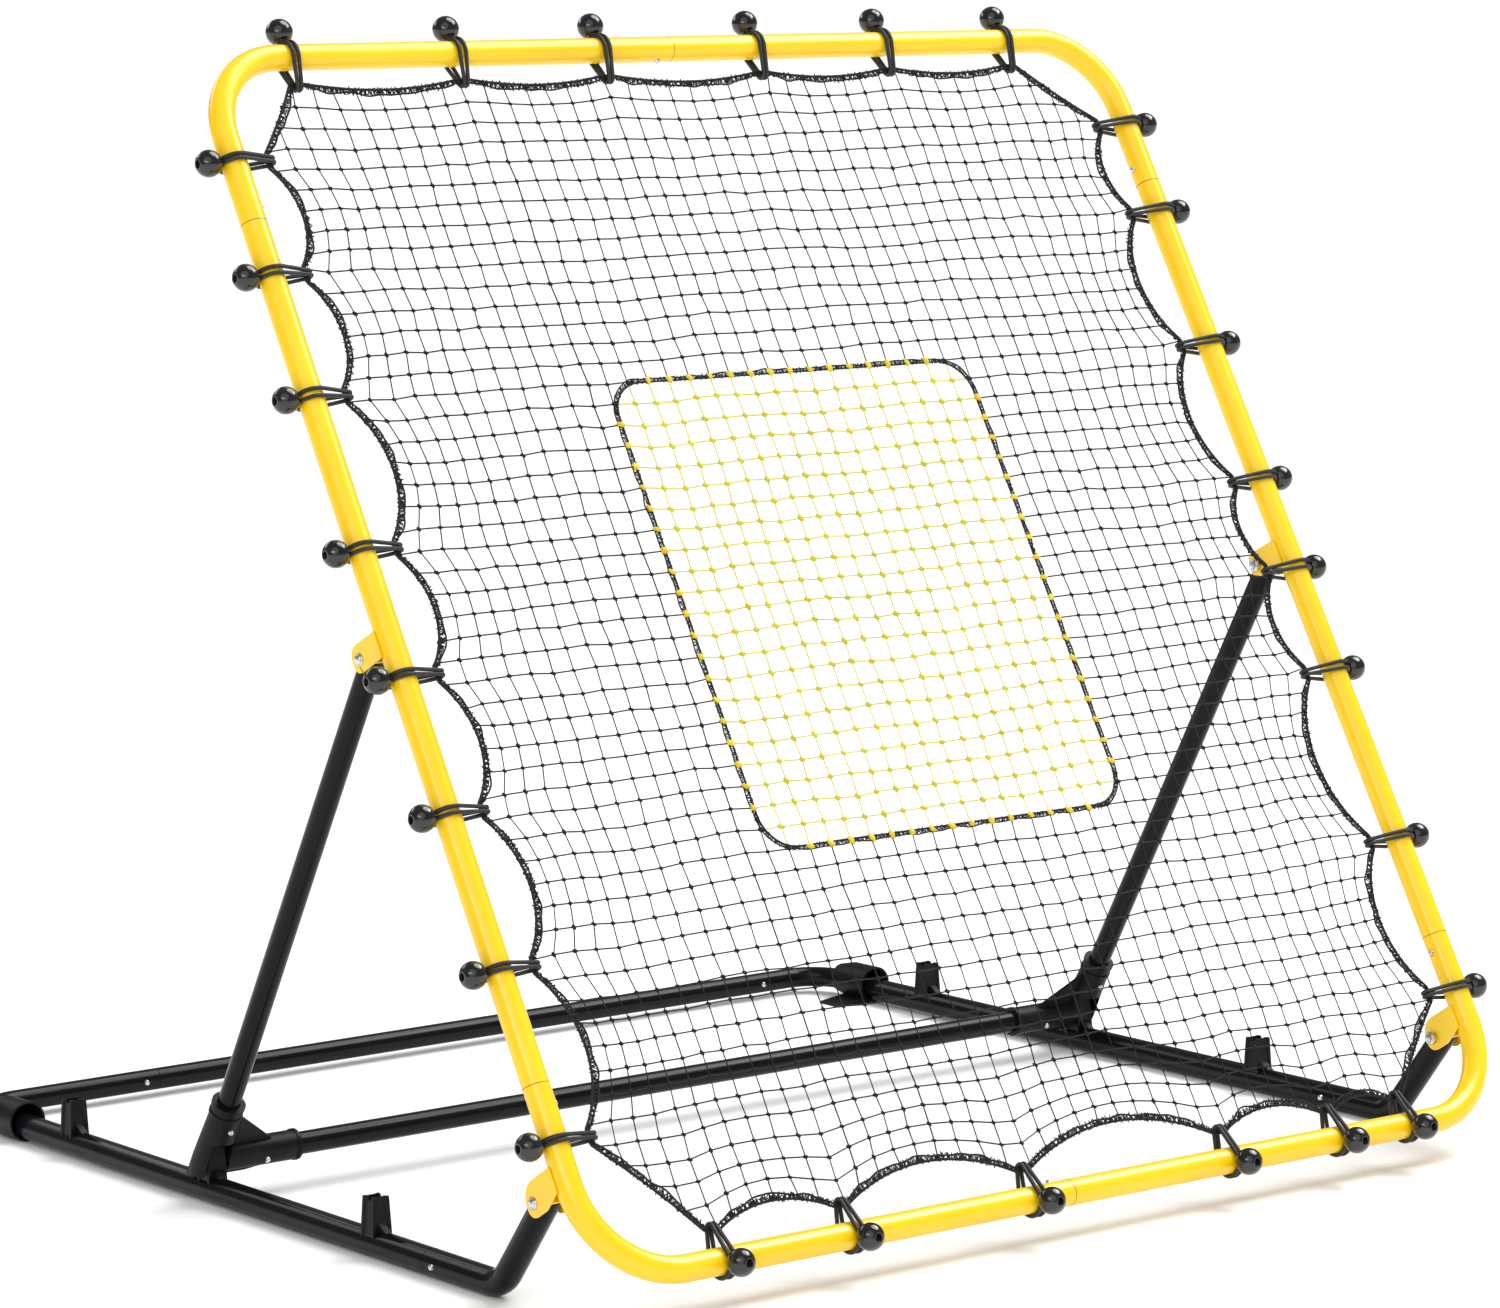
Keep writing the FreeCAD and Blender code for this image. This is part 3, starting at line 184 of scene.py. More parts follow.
coat = sprayed_coat()
yellow_coat = surface("yellow_powder_coat", coat, {
    "Color": (0.97, 0.63, 0.005), "Shade": (0.92, 0.57, 0.004), "Gloss": 0.24, "Peel": 0.10},
    Coat_Weight=0.2, Coat_Roughness=0.12)


crisp_angle = 32.0


def settle_normals(piece):
    """Shades a faceted solid as the smooth one it stands for, with its real edges kept crisp."""
    mesh = piece.data
    limit = math.cos(math.radians(crisp_angle))
    around = {}
    corners = []
    for face in mesh.polygons:
        spots = [mesh.vertices[index].co for index in face.vertices]
        for i, spot in enumerate(spots):
            into, away = spots[i - 1] - spot, spots[(i + 1) % len(spots)] - spot
            width = into.angle(away, 0.0)
            key = (round(spot.x, 6), round(spot.y, 6), round(spot.z, 6))
            around.setdefault(key, []).append((face.normal.copy(), width))
            corners.append((key, face.normal.copy()))
    normals = []
    for key, own in corners:
        total = Vector((0, 0, 0))
        for normal, width in around[key]:
            if normal.dot(own) > limit:
                total += normal * width
        normals.append(total.normalized() if total.length > 1e-9 else own)
    mesh.polygons.foreach_set("use_smooth", [True] * len(mesh.polygons))
    mesh.normals_split_custom_set(normals)


def finish_node(node, material):
    piece = frame["nodes"][node]
    piece.data.materials.clear()
    piece.data.materials.append(material)
    settle_normals(piece)


frame_tubes = [name for name in frame["nodes"] if name.startswith("frame_")]
for name in frame_tubes:
    finish_node(name, yellow_coat)


# The brackets are pressed steel channels welded behind the side tubes, coated with the frame.
# Two carry the lower pivots on the risers and two carry the struts.
def placed(name, data):
    """A new object in the scene."""
    thing = bpy.data.objects.new(name, data)
    bpy.context.collection.objects.link(thing)
    return thing


def plain_mesh(base, name):
    """The mesh that an object's modifiers make. The object itself goes."""
    bpy.context.view_layer.update()
    mesh = bpy.data.meshes.new_from_object(
        base.evaluated_get(bpy.context.evaluated_depsgraph_get()))
    mesh.name = name
    bpy.data.objects.remove(base)
    return mesh


def new_piece(name, mesh, body, material, replaced=()):
    """Puts a finished mesh in the scene, riding on its body."""
    piece = placed(name, mesh)
    if material:
        mesh.materials.clear()
        mesh.materials.append(material)
    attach(piece, body)
    if replaced:
        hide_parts(*replaced)
    return piece


merge_distance = 1e-5
flat_angle, edge_angle = 0.6, 34


def softened(node, name, material, width):
    """A copy of a node with its facets merged, its sharp edges rounded and its shading even."""
    form = bmesh.new()
    form.from_mesh(frame["nodes"][node].data)
    bmesh.ops.remove_doubles(form, verts=form.verts, dist=merge_distance)
    bmesh.ops.dissolve_limit(form, angle_limit=math.radians(flat_angle), verts=form.verts,
                             edges=form.edges)
    rough = bpy.data.meshes.new(name + "_rough")
    form.to_mesh(rough)
    form.free()
    rough.polygons.foreach_set("use_smooth", [True] * len(rough.polygons))
    base = placed(name + "_base", rough)
    bevel = base.modifiers.new("edges", "BEVEL")
    bevel.width = width
    bevel.segments = 2
    bevel.limit_method = "ANGLE"
    bevel.angle_limit = math.radians(edge_angle)
    even = base.modifiers.new("shading", "WEIGHTED_NORMAL")
    even.keep_sharp = True
    body = body_of(frame["nodes"][node])[0]
    return new_piece(name, plain_mesh(base, name), body, material, [node])


for name in [name for name in frame["nodes"] if "_bracket_" in name]:
    softened(name, name + "_pressed", yellow_coat, width=0.0005)

# The rails, risers, rear bar, elbows, struts and cross tube are steel tubes coated gloss black.
# Long crisp streaks of light run along them.
black_coat = surface("black_powder_coat", coat, {
    "Color": (0.006, 0.005, 0.007), "Shade": (0.004, 0.004, 0.005), "Gloss": 0.17,
    "Peel": 0.05}, Specular_IOR_Level=0.13, Coat_Weight=0.06, Coat_Roughness=0.06)
black_tubes = [name for name in frame["nodes"]
               if name.startswith(("rail_left", "rail_right", "front_riser", "rear_bar",
                                   "rear_elbow", "strut_left", "strut_right", "cross_tube"))]
for name in black_tubes:
    finish_node(name, black_coat)


# Each tube joint leaves a fine dark line of bare shadow round the tube, with a slight lip.
# One line is drawn round every seam of the frame and of the base.
def turned(form, profile, centre, axis, sides=32, closed=False):
    """Adds a turned shape to a mesh in the making, from pairs of height and radius."""
    spin = axis.normalized().to_track_quat("Z", "Y")
    steps = [2 * math.pi * step / sides for step in range(sides)]
    rings = []
    for height, radius in profile:
        angles = steps if radius > 0 else steps[:1]
        rings.append([form.verts.new(centre + spin @ Vector((
            radius * math.cos(angle), radius * math.sin(angle), height))) for angle in angles])
    for low, high in zip(rings, rings[1:] + rings[:1] if closed else rings[1:]):
        for i in range(sides):
            corners = [low[i - 1] if len(low) > 1 else low[0], low[i] if len(low) > 1 else None,
                       high[i] if len(high) > 1 else high[0],
                       high[i - 1] if len(high) > 1 else None]
            form.faces.new([corner for corner in corners if corner])


def closed_mesh(form, name):
    """Ends a mesh in the making, with its faces turned outwards."""
    bmesh.ops.recalc_face_normals(form, faces=form.faces)
    for face in form.faces:
        face.smooth = True
    mesh = bpy.data.meshes.new(name)
    form.to_mesh(mesh)
    form.free()
    return mesh


yellow_seam = surface("yellow_seam", coat, {
    "Color": (0.42, 0.25, 0.004), "Shade": (0.16, 0.09, 0.003), "Gloss": 0.5, "Peel": 0.2})
black_seam = surface("black_seam", coat, {
    "Color": (0.002, 0.002, 0.002), "Shade": (0.001, 0.001, 0.001), "Gloss": 0.5,
    "Peel": 0.2}, Specular_IOR_Level=0.1)
seam_width = 0.0012
seam_proud = 0.00014
seam_sunk = 0.0001
seam_sides = 48
sideways = Vector((1, 0, 0))
slim_radius = 12.7
half_frame = frame_width / 2
top_seam, bottom_seam, upper_seam, lower_seam = -11, -19, 1174, 209
rail_bend_place, rail_seam, rail_end = 168, 293, 1125
rail_front_height, rail_rear_height = 14.4, 17
rear_bar_place, rear_bar_height, rear_left_seam_in, rear_right_seam_in = 1229, 20, 243, 120
rail_rise = math.atan2(rail_rear_height - rail_front_height, rail_end - rail_bend_place)
along_rail = Vector((0, math.cos(rail_rise), math.sin(rail_rise)))
rail_seam_height = rail_front_height + (rail_seam - rail_bend_place) * math.tan(rail_rise)
frame_seams = [(on_frame(top_seam, frame_height), sideways, tube_radius),
               (on_frame(bottom_seam, 0), sideways, tube_radius)]
base_seams = [(on_base(across, rear_bar_place, rear_bar_height), sideways, slim_radius)
              for across in (rear_left_seam_in - half_frame, half_frame - rear_right_seam_in)]
for side in (-1, 1):
    frame_seams += [(on_frame(side * half_frame, up), up_frame, tube_radius)
                    for up in (upper_seam, lower_seam)]
    base_seams.append((on_base(side * half_frame, rail_seam, rail_seam_height), along_rail,
                       tube_radius))
for name, body, slot, skin, seams in (
        ("frame_seam_lines", "leaning_frame", "yellow_coat", yellow_seam, frame_seams),
        ("base_seam_lines", "floor_base", "black_coat", black_seam, base_seams)):
    form = bmesh.new()
    for centre, axis, radius in seams:
        inner, outer = radius / 1000 - seam_sunk, radius / 1000 + seam_proud
        turned(form, [(-seam_width / 2, inner), (-seam_width / 4, outer),
                      (seam_width / 4, outer), (seam_width / 2, inner)], centre, axis,
               seam_sides, True)
    new_piece(name, closed_mesh(form, name), body, skin)


# The posts, feet, hoods and end plugs are moulded in black plastic with a satin skin.
# They keep small round edges from the mould and catch the light in soft patches.
def moulded_skin():
    """A moulded plastic skin: fine grain, and faint flow marks in its shade and gloss."""
    group, given, out = new_finish("moulded_skin", "Worn", "Grain")
    flow, grain = noise_at(group, 30.0, 4.0, 0.8), noise_at(group, 1400.0)
    colour = mixed(group, stretched(group, flow, 0.45, 0.75), given.outputs["Color"],
                   given.outputs["Worn"])
    return end_finish(group, given, out, colour, flow, grain, "Grain", dulling=0.18,
                      depth=0.0003)


plastic = moulded_skin()
satin_black = surface("moulded_satin_black", plastic, {
    "Color": (0.006, 0.006, 0.007), "Worn": (0.012, 0.012, 0.013), "Gloss": 0.32,
    "Grain": 0.25}, Specular_IOR_Level=0.14)
for name in [name for name in frame["nodes"] if "_post_" in name]:
    softened(name, name + "_moulded", satin_black, width=0.0006)
for name in [name for name in frame["nodes"] if name.startswith(("foot_connector", "rear_hood"))]:
    softened(name, name + "_moulded", satin_black, width=0.0008)
softened("rail_end_plugs", "rail_end_caps", satin_black, width=0.0015)


# The foot's round wall is whole beside the slot that drops over the post. A thin curved web of
# the same plastic, in the wall's thickness, closes each upper corner of the slot, where the
# slot reaches the wall.
def curved_web(form, centre, axis, aside, angles, heights, radii):
    """Adds a closed piece of a tapered tube's wall, between two angles from the tube's back."""
    behind = axis.cross(sideways)
    steps = 8
    rings = []
    for height, radius in zip(heights + heights[::-1], radii):
        spots = []
        for step in range(steps + 1):
            angle = math.radians(angles[0] + (angles[1] - angles[0]) * step / steps)
            spots.append(form.verts.new(centre + axis * height + (
                aside * math.sin(angle) + behind * math.cos(angle)) * radius))
        rings.append(spots)
    for low, high in zip(rings, rings[1:] + rings[:1]):
        for i in range(steps):
            form.faces.new((low[i], low[i + 1], high[i + 1], high[i]))
    form.faces.new([ring[0] for ring in rings])
    form.faces.new([ring[-1] for ring in reversed(rings)])


foot_place, foot_height, upper_pivot = 716, 49, (693.5, 38)
foot_bottom_radius, foot_top_radius, foot_taper_height = 0.0205, 0.0175, 0.063
foot_taper = (foot_bottom_radius - foot_top_radius) / foot_taper_height
web_angles, web_heights = (18, 49), [0.0030, 0.0170]
web_recess, web_depth = 0.00015, 0.0008
web_radii = [foot_bottom_radius - foot_taper * height - web_recess for height in web_heights]
web_radii += [radius - web_depth for radius in reversed(web_radii)]
form = bmesh.new()
for side in (-1, 1):
    foot_middle = on_base(side * half_frame, foot_place, foot_height)
    strut_way = (on_frame(side * half_frame, *upper_pivot) - foot_middle).normalized()
    for aside in (-sideways, sideways):
        curved_web(form, foot_middle, strut_way, aside, web_angles, web_heights, web_radii)
new_piece("foot_wall_webs", closed_mesh(form, "foot_wall_webs"), "prop",
          satin_black)


# Four bolts with domed heads, and their nuts, hold the pivots. They are zinc plated steel with
# a washer under the head, and each nut shows the bolt's threaded end.
def plated_metal():
    """A plated metal skin: fine turning marks and faint clouding."""
    group, given, out = new_finish("plated_metal", "Cloud", "Marks")
    clouds, scratches = noise_at(group, 260.0, 3.0), noise_at(group, 2600.0, 1.0)
    colour = mixed(group, clouds, given.outputs["Cloud"], given.outputs["Color"])
    return end_finish(group, given, out, colour, clouds, scratches, "Marks", dulling=0.15,
                      depth=0.0002)


plated = plated_metal()
zinc_plate = surface("zinc_plate", plated, {
    "Color": (0.78, 0.78, 0.79), "Cloud": (0.58, 0.58, 0.60), "Gloss": 0.22, "Marks": 0.2},
    Metallic=1.0)


def spread_copies():
    """A tree that puts one form on every point of a mesh, turned by the point's own turn."""
    tree, given, out = new_group("spread_copies", "GeometryNodeTree", {
        "Points": "Geometry", "Form": "Object", "Finish": "Material"}, {"Pieces": "Geometry"})
    form = lay(tree, "GeometryNodeObjectInfo", {"Object": given.outputs["Form"]})
    turn = lay(tree, "GeometryNodeInputNamedAttribute", {"Name": "turn"},
               data_type="FLOAT_VECTOR")
    rotation = lay(tree, "FunctionNodeEulerToRotation", {0: turn.outputs[0]})
    copies = lay(tree, "GeometryNodeInstanceOnPoints", {
        "Points": given.outputs["Points"], "Instance": form.outputs["Geometry"],
        "Rotation": rotation.outputs[0]})
    whole = lay(tree, "GeometryNodeRealizeInstances", {0: copies.outputs[0]})
    finished = lay(tree, "GeometryNodeSetMaterial", {
        "Geometry": whole.outputs[0], "Material": given.outputs["Finish"]})
    tree.links.new(finished.outputs[0], out.inputs[0])
    return tree


def points_mesh(name, spots, axes):
    """Loose points, each with the turn that lays a form's height along its axis."""
    mesh = bpy.data.meshes.new(name)
    mesh.from_pydata(spots, [], [])
    turns = mesh.attributes.new("turn", "FLOAT_VECTOR", "POINT")
    for index, axis in enumerate(axes):
        turns.data[index].vector = axis.to_track_quat("Z", "Y").to_euler()
    return mesh


def grown(name, mesh, tree, **values):
    """The plain mesh that a node tree makes from another mesh."""
    base = placed(name + "_base", mesh)
    modifier = base.modifiers.new("tree", "NODES")
    modifier.node_group = tree
    keys = {item.name: item.identifier for item in tree.interface.items_tree
            if item.item_type == "SOCKET" and item.in_out == "INPUT"}
    for word, value in values.items():
        modifier[keys[word.replace("_", " ")]] = value
    return plain_mesh(base, name)


def form_object(form, name):
    """An object that only lends its mesh to a node tree."""
    return placed(name, closed_mesh(form, name))


copies_tree = spread_copies()
millimetre = 0.001
origin, upright = Vector((0, 0, 0)), Vector((0, 0, 1))
bracket_gap, bracket_plate, lower_pivot = 0.3, 2.5, (103, 43)
plate_face = (tube_radius + bracket_gap + bracket_plate) * millimetre
pivot_places = [(side, up, back) for side in (-1, 1) for up, back in (upper_pivot, lower_pivot)]
washer_gap = 0.00005
washer_and_head = [(0, 0.0001), (0, 0.0068), (0.0008, 0.0070), (0.0012, 0.0066),
                   (0.0012, 0.0054), (0.0018, 0.0056), (0.0028, 0.0050), (0.0036, 0.0036),
                   (0.0040, 0.0016), (0.0041, 0)]
bolt_form = bmesh.new()
turned(bolt_form, washer_and_head, upright * washer_gap, upright, 32)
thread_out, thread_length, thread_start = 0.0095, 0.0072, 0.0004
thread_pitch, thread_flank, thread_turns = 0.0011, 0.0005, 5
tip_radius, root_radius, crest_radius = 0.0032, 0.0034, 0.0040
shank_radius, shank_top = 0.0039, -0.0004
thread_end = -2 * plate_face - thread_out
thread = [(thread_end, 0), (thread_end, tip_radius)]
for turn in range(thread_turns):
    root = thread_end + thread_start + turn * thread_pitch
    thread += [(root, root_radius), (root + thread_flank, crest_radius)]
thread += [(thread_end + thread_length, shank_radius), (shank_top, shank_radius), (shank_top, 0)]
turned(bolt_form, thread, origin, upright, 24)
nut_height, nut_bevel, nut_bore, nut_flat = 0.0070, 0.0008, 0.0042, 0.0065
nut_corner, nut_face = nut_flat / math.cos(math.pi / 6), nut_flat * 0.99
nut_form = bmesh.new()
turned(nut_form, [(0, nut_bore), (0, nut_face), (nut_bevel, nut_corner),
                  (nut_height - nut_bevel, nut_corner), (nut_height, nut_face),
                  (nut_height, nut_bore)], origin, upright, 6, True)
bolt_lender = form_object(bolt_form, "bolt_pattern")
nut_lender = form_object(nut_form, "nut_pattern")
bolt_spots, nut_spots, outs = [], [], []
for side, up, back in pivot_places:
    middle = on_frame(side * half_frame, up, back)
    outward = Vector((side, 0, 0))
    bolt_spots.append(middle + outward * plate_face)
    nut_spots.append(middle - outward * plate_face)
    outs.append(outward)
for name, lender, spots, axes, node in (
        ("pivot_bolt_set", bolt_lender, bolt_spots, outs, "pivot_bolts"),
        ("pivot_nut_set", nut_lender, nut_spots, [-out for out in outs], "pivot_nuts")):
    mesh = grown(name, points_mesh(name + "_points", spots, axes), copies_tree, Form=lender,
                 Finish=zinc_plate)
    new_piece(name, mesh, "leaning_frame", None, [node])
for lender in (bolt_lender, nut_lender):
    bpy.data.objects.remove(lender)

# Every tube joint, foot and socket is held by a sprung snap button of plated steel. Its head is
# a dome that stands out of a round hole, and a flange keeps it in.
flange_radius, flange_thickness, stem_radius = 0.0045, 0.0010, 0.0032
dome = [(-0.0022, stem_radius), (-0.0013, 0.0030), (-0.0006, 0.0025), (-0.0002, 0.0016), (0, 0)]
for joint in frame["joints"]:
    if not joint["name"].endswith("_press"):
        continue
    name = joint["child"]
    outward = -Vector(joint["axis"]).normalized()
    spots = [vertex.co for vertex in frame["nodes"][name].data.vertices]
    tip = max(spot.dot(outward) for spot in spots)
    foot = min(spot.dot(outward) for spot in spots)
    middle = sum(spots, Vector()) / len(spots)
    centre = middle - outward * middle.dot(outward)
    base, flange_top = foot - tip, foot - tip + flange_thickness
    flange = [(base, 0), (base, flange_radius), (flange_top, flange_radius),
              (flange_top, stem_radius)]
    form = bmesh.new()
    turned(form, flange + dome, centre + outward * tip, outward, 28)
    new_piece(name + "_dome", closed_mesh(form, name + "_dome"), name, zinc_plate, [name])

# The net hangs in a border rope of black cord: a heavy cord and a lighter one beside it, laced
# together by fine twine. It hangs in shallow scallops, and the ties pinch its cords together.
side_gap, end_gap = 43, 34
side_edge = half_frame - side_gap
low_edge, high_edge = end_gap, frame_height - end_gap
side_sag, top_sag, bottom_sag, corner_sag = 0.19, 0.05, 0.13, 0.02
tie_land = 7
rope_step = 6.0
top_ties = (-516, -301, -106, 111, 297, 480)
left_ties = (1247, 1113, 971, 796, 654, 502, 332, 149)
right_ties = (1253, 1136, 961, 784, 669, 540, 329, 143)
bottom_ties = (-475, -310, -67, 212, 372, 477)
rope_anchors = [(Vector((x, high_edge)), Vector((1, 0)), top_sag) for x in top_ties]
rope_anchors += [(Vector((side_edge, up)), Vector((0, -1)), side_sag) for up in right_ties]
rope_anchors += [(Vector((x, low_edge)), Vector((-1, 0)), bottom_sag)
                 for x in reversed(bottom_ties)]
rope_anchors += [(Vector((-side_edge, up)), Vector((0, 1)), side_sag)
                 for up in reversed(left_ties)]


def slack_run(leaving, arriving, slack, step):
    """Points on the round arc that a slack run takes, without its last point."""
    chord = arriving - leaving
    half = chord.length / 2
    ahead = chord.normalized()
    inward = Vector((ahead.y, -ahead.x))
    radius = (half * half + slack * slack) / (2 * slack)
    spread = math.asin(half / radius)
    centre = (leaving + arriving) / 2 + inward * (slack - radius)
    count = max(4, round(2 * half / step))
    angles = [spread * (2 * i / count - 1) for i in range(count)]
    return [centre + inward * (radius * math.cos(a)) + ahead * (radius * math.sin(a))
            for a in angles]


rope_course = []
for start, end in zip([rope_anchors[-1]] + rope_anchors, rope_anchors):
    (here, run, sag), (there, next_run, next_sag) = start, end
    if run != next_run:
        sag = next_sag = corner_sag
    leaving, arriving = here + run * tie_land, there - next_run * tie_land
    rope_course.append(here - run * tie_land)
    slack = (arriving - leaving).length * (sag + next_sag) / 2
    rope_course += slack_run(leaving, arriving, slack, rope_step)


def evened(line, step):
    """The same closed line with its points an even step apart, and its whole length."""
    lengths = [(line[(i + 1) % len(line)] - line[i]).length for i in range(len(line))]
    whole = sum(lengths)
    count = round(whole / step)
    result, index, passed = [], 0, 0.0
    for i in range(count):
        goal = whole * i / count
        while passed + lengths[index] < goal:
            passed += lengths[index]
            index += 1
        share = (goal - passed) / lengths[index]
        result.append(line[index].lerp(line[(index + 1) % len(line)], share))
    return result, whole


def swept(form, line, radius, sides, facing):
    """Adds a round closed strand along a line of points, with its length and its turn as UV."""
    uv = form.loops.layers.uv.verify()
    steps = [2 * math.pi * step / sides for step in range(sides)]
    rings = []
    for i, point in enumerate(line):
        tangent = (line[(i + 1) % len(line)] - line[i - 1]).normalized()
        side = tangent.cross(facing).normalized()
        up = side.cross(tangent)
        rings.append([form.verts.new(point + side * (radius * math.cos(a))
                                     + up * (radius * math.sin(a))) for a in steps])
    gone = 0.0
    for i, low in enumerate(rings):
        high = rings[(i + 1) % len(rings)]
        ahead = gone + (line[(i + 1) % len(line)] - line[i]).length
        for k in range(sides):
            face = form.faces.new([low[k], high[k], high[(k + 1) % sides], low[(k + 1) % sides]])
            turn, next_turn = k / sides, (k + 1) / sides
            for loop, spot in zip(face.loops, ((gone, turn), (ahead, turn), (ahead, next_turn),
                                               (gone, next_turn))):
                loop[uv].uv = spot
        gone = ahead


def beside(line, facing, places):
    """A closed line moved sideways and out of the net's plane by its own amount at each point."""
    result = []
    for i, point in enumerate(line):
        tangent = (line[(i + 1) % len(line)] - line[i - 1]).normalized()
        side = tangent.cross(facing).normalized()
        across, out = places(i, point)
        result.append(point + side * across + facing * out)
    return result


def corded():
    """Braided cord: crossing yarns that run round it both ways, read from its own UV. Painted
    highlight on the raised yarns and painted shade in the grooves between them, mixed with random
    lighter flecks.
    """
    group, given, out = new_finish("corded", "Fleck and Crest Light", "Relief", "Yarns")
    parts = lay(group, "ShaderNodeSeparateXYZ", {
        0: lay(group, "ShaderNodeTexCoord").outputs["UV"]})
    along = worked(group, "MULTIPLY", parts.outputs[0], given.outputs["Yarns"])
    yarns_round = 3.0
    around = worked(group, "MULTIPLY", parts.outputs[1], yarns_round)
    waves = []
    for way in ("ADD", "SUBTRACT"):
        turn = worked(group, "MULTIPLY", worked(group, way, along, around), 2 * math.pi)
        waves.append(worked(group, "SINE", turn))
    lifted = stretched(group, worked(group, "MAXIMUM", *waves), -1.0, 1.0)
    fuzz = noise_at(group, 800.0)
    # Painted shade and highlight: the raised yarns are painted in the lighter colour and the
    # grooves between them in the darker one, mixed with random lighter flecks.
    colour = mixed(group, worked(group, "MULTIPLY", lifted, fuzz), given.outputs["Color"],
                   given.outputs["Fleck and Crest Light"])
    return end_finish(group, given, out, colour, fuzz, lifted, "Relief", dulling=0.2,
                      depth=0.0004)


cord_skin = corded()
# The lighter colour is painted highlight on the raised yarns, mixed with random flecks of lighter
# yarn.
black_cord = surface("black_braided_cord", cord_skin, {
    "Color": (0.006, 0.006, 0.006), "Fleck and Crest Light": (0.035, 0.035, 0.035), "Yarns": 420.0,
    "Gloss": 0.6, "Relief": 0.6}, Specular_IOR_Level=0.3)


pinch_reach = 0.035
heavy_share = 0.42
cord_step, lace_step = 0.004, 0.0018


def laced_rope(form, line, heavy, light, apart, lace, pitch, ties):
    """A heavy cord, a lighter one beside it, and fine twine laced round both, all uneven."""
    def pinch(point):
        return min([1.0] + [(point - tie).length / pinch_reach for tie in ties])

    def wander(point, most, scale, shift=(0, 0, 0)):
        return most * noise.noise(point * scale + Vector(shift))

    def heavy_place(i, point):
        return -apart * heavy_share, wander(point, 0.0004, 60)

    def light_place(i, point):
        loose = 0.62 + wander(point, 0.75, 45)
        return (-apart * heavy_share + apart * (0.35 + loose * pinch(point)),
                wander(point, 0.0012, 38, (5, 0, 0)))

    swept(form, beside(evened(line, cord_step)[0], out_back, heavy_place), heavy, 7, out_back)
    fine_line, whole = evened(line, lace_step)
    swept(form, beside(fine_line, out_back, light_place), light, 5, out_back)
    reach = heavy + abs(apart) * 0.48
    for phase, hand in ((0.0, 1), (1.7, -1), (3.9, 1), (5.2, -1)):
        turns = round(whole / pitch * (1 + 0.13 * phase)) * hand

        def lace_place(i, point):
            angle = 2 * math.pi * turns * i / len(fine_line) + phase
            angle += wander(point, 2.2, 28, (phase, 0, hand))
            loose = 1 + wander(point, 0.7, 130, (0, phase, hand))
            return (reach * loose * (0.6 + 0.4 * pinch(point)) * math.cos(angle),
                    (heavy + lace * 0.6) * math.sin(angle))

        swept(form, beside(fine_line, out_back, lace_place), lace, 4, out_back)


rope_line = [on_frame(spot.x, spot.y) for spot in rope_course]
tie_spots = [on_frame(anchor.x, anchor.y) for anchor, run, sag in rope_anchors]
form = bmesh.new()
laced_rope(form, rope_line, heavy=0.0015, light=0.0011, apart=-0.0060, lace=0.00068,
           pitch=0.0088, ties=tie_spots)
new_piece("border_rope", closed_mesh(form, "border_rope"), "leaning_frame",
          black_cord, ["net_border"])

# The rebound net is knotted from black twine, with one knot at every crossing. Its outer
# meshes are drawn to the rope's scallops, and a window is left for the target net.
window_low, window_high, window_half, window_corner = 417, 965, 250, 42
column_cells = ((-side_edge, -window_half, 12), (-window_half, window_half, 18),
                (window_half, side_edge, 12))
row_cells = ((low_edge, window_low, 15), (window_low, window_high, 22),
             (window_high, high_edge, 15))
pull_reach, most_pull = 190, 40
rope_runs = list(zip(rope_course, rope_course[1:] + rope_course[:1]))
toward_middle = 0.004
net_middle = Vector((0, frame_height / 2))


def spaced(cells):
    places = [cells[0][0]]
    for low, high, count in cells:
        places += [low + (high - low) * (i + 1) / count for i in range(count)]
    return places


def crossings(level, axis):
    """Where the rope's line crosses a level line across the frame or up it."""
    found = []
    for here, there in rope_runs:
        low, high = here[axis], there[axis]
        if (low - level) * (high - level) <= 0 and low != high:
            share = (level - low) / (high - low)
            found.append(here[1 - axis] + (there[1 - axis] - here[1 - axis]) * share)
    return found or [0.0]


def held(value, place, tied):
    """A pull within bounds. The corners past the last ties are cut, not pulled."""
    return max(-most_pull, min(most_pull, value)) if min(tied) < place < max(tied) else 0.0


def inside_rope(spot):
    """True inside the rope's line, or within a little of it."""
    test = spot.lerp(net_middle, toward_middle)
    inside = False
    for here, there in rope_runs:
        if (here.y > test.y) != (there.y > test.y):
            if test.x < here.x + (there.x - here.x) * (test.y - here.y) / (there.y - here.y):
                inside = not inside
    return inside


def past_window(spot):
    """How far a place is outside the window's rounded outline. It is negative inside."""
    middle = (window_low + window_high) / 2
    wide = abs(spot.x) - (window_half - window_corner)
    tall = abs(spot.y - middle) - ((window_high - window_low) / 2 - window_corner)
    corner = Vector((max(wide, 0), max(tall, 0))).length
    return corner + min(max(wide, tall), 0) - window_corner


columns, rows = spaced(column_cells), spaced(row_cells)
left_pull = [held(min(crossings(up, 1)) + side_edge, up, left_ties) for up in rows]
right_pull = [held(max(crossings(up, 1)) - side_edge, up, right_ties) for up in rows]
low_pull = [held(min(crossings(x, 0)) - low_edge, x, bottom_ties) for x in columns]
high_pull = [held(max(crossings(x, 0)) - high_edge, x, top_ties) for x in columns]


def fading(distance):
    return max(0.0, 1 - distance / pull_reach) ** 2


def rings_in(i, j):
    """How many knots a knot is in from the nearest edge of the net."""
    return min(i, j, len(columns) - 1 - i, len(rows) - 1 - j)


# The offsets of noise_vector follow the clock unless a seed is set.
net_seed = 1795623979
noise.seed_set(net_seed)
drift_scale, most_drift, most_shake = 160, 5, 2.6
taut_reach, taut_rings = 30, 3


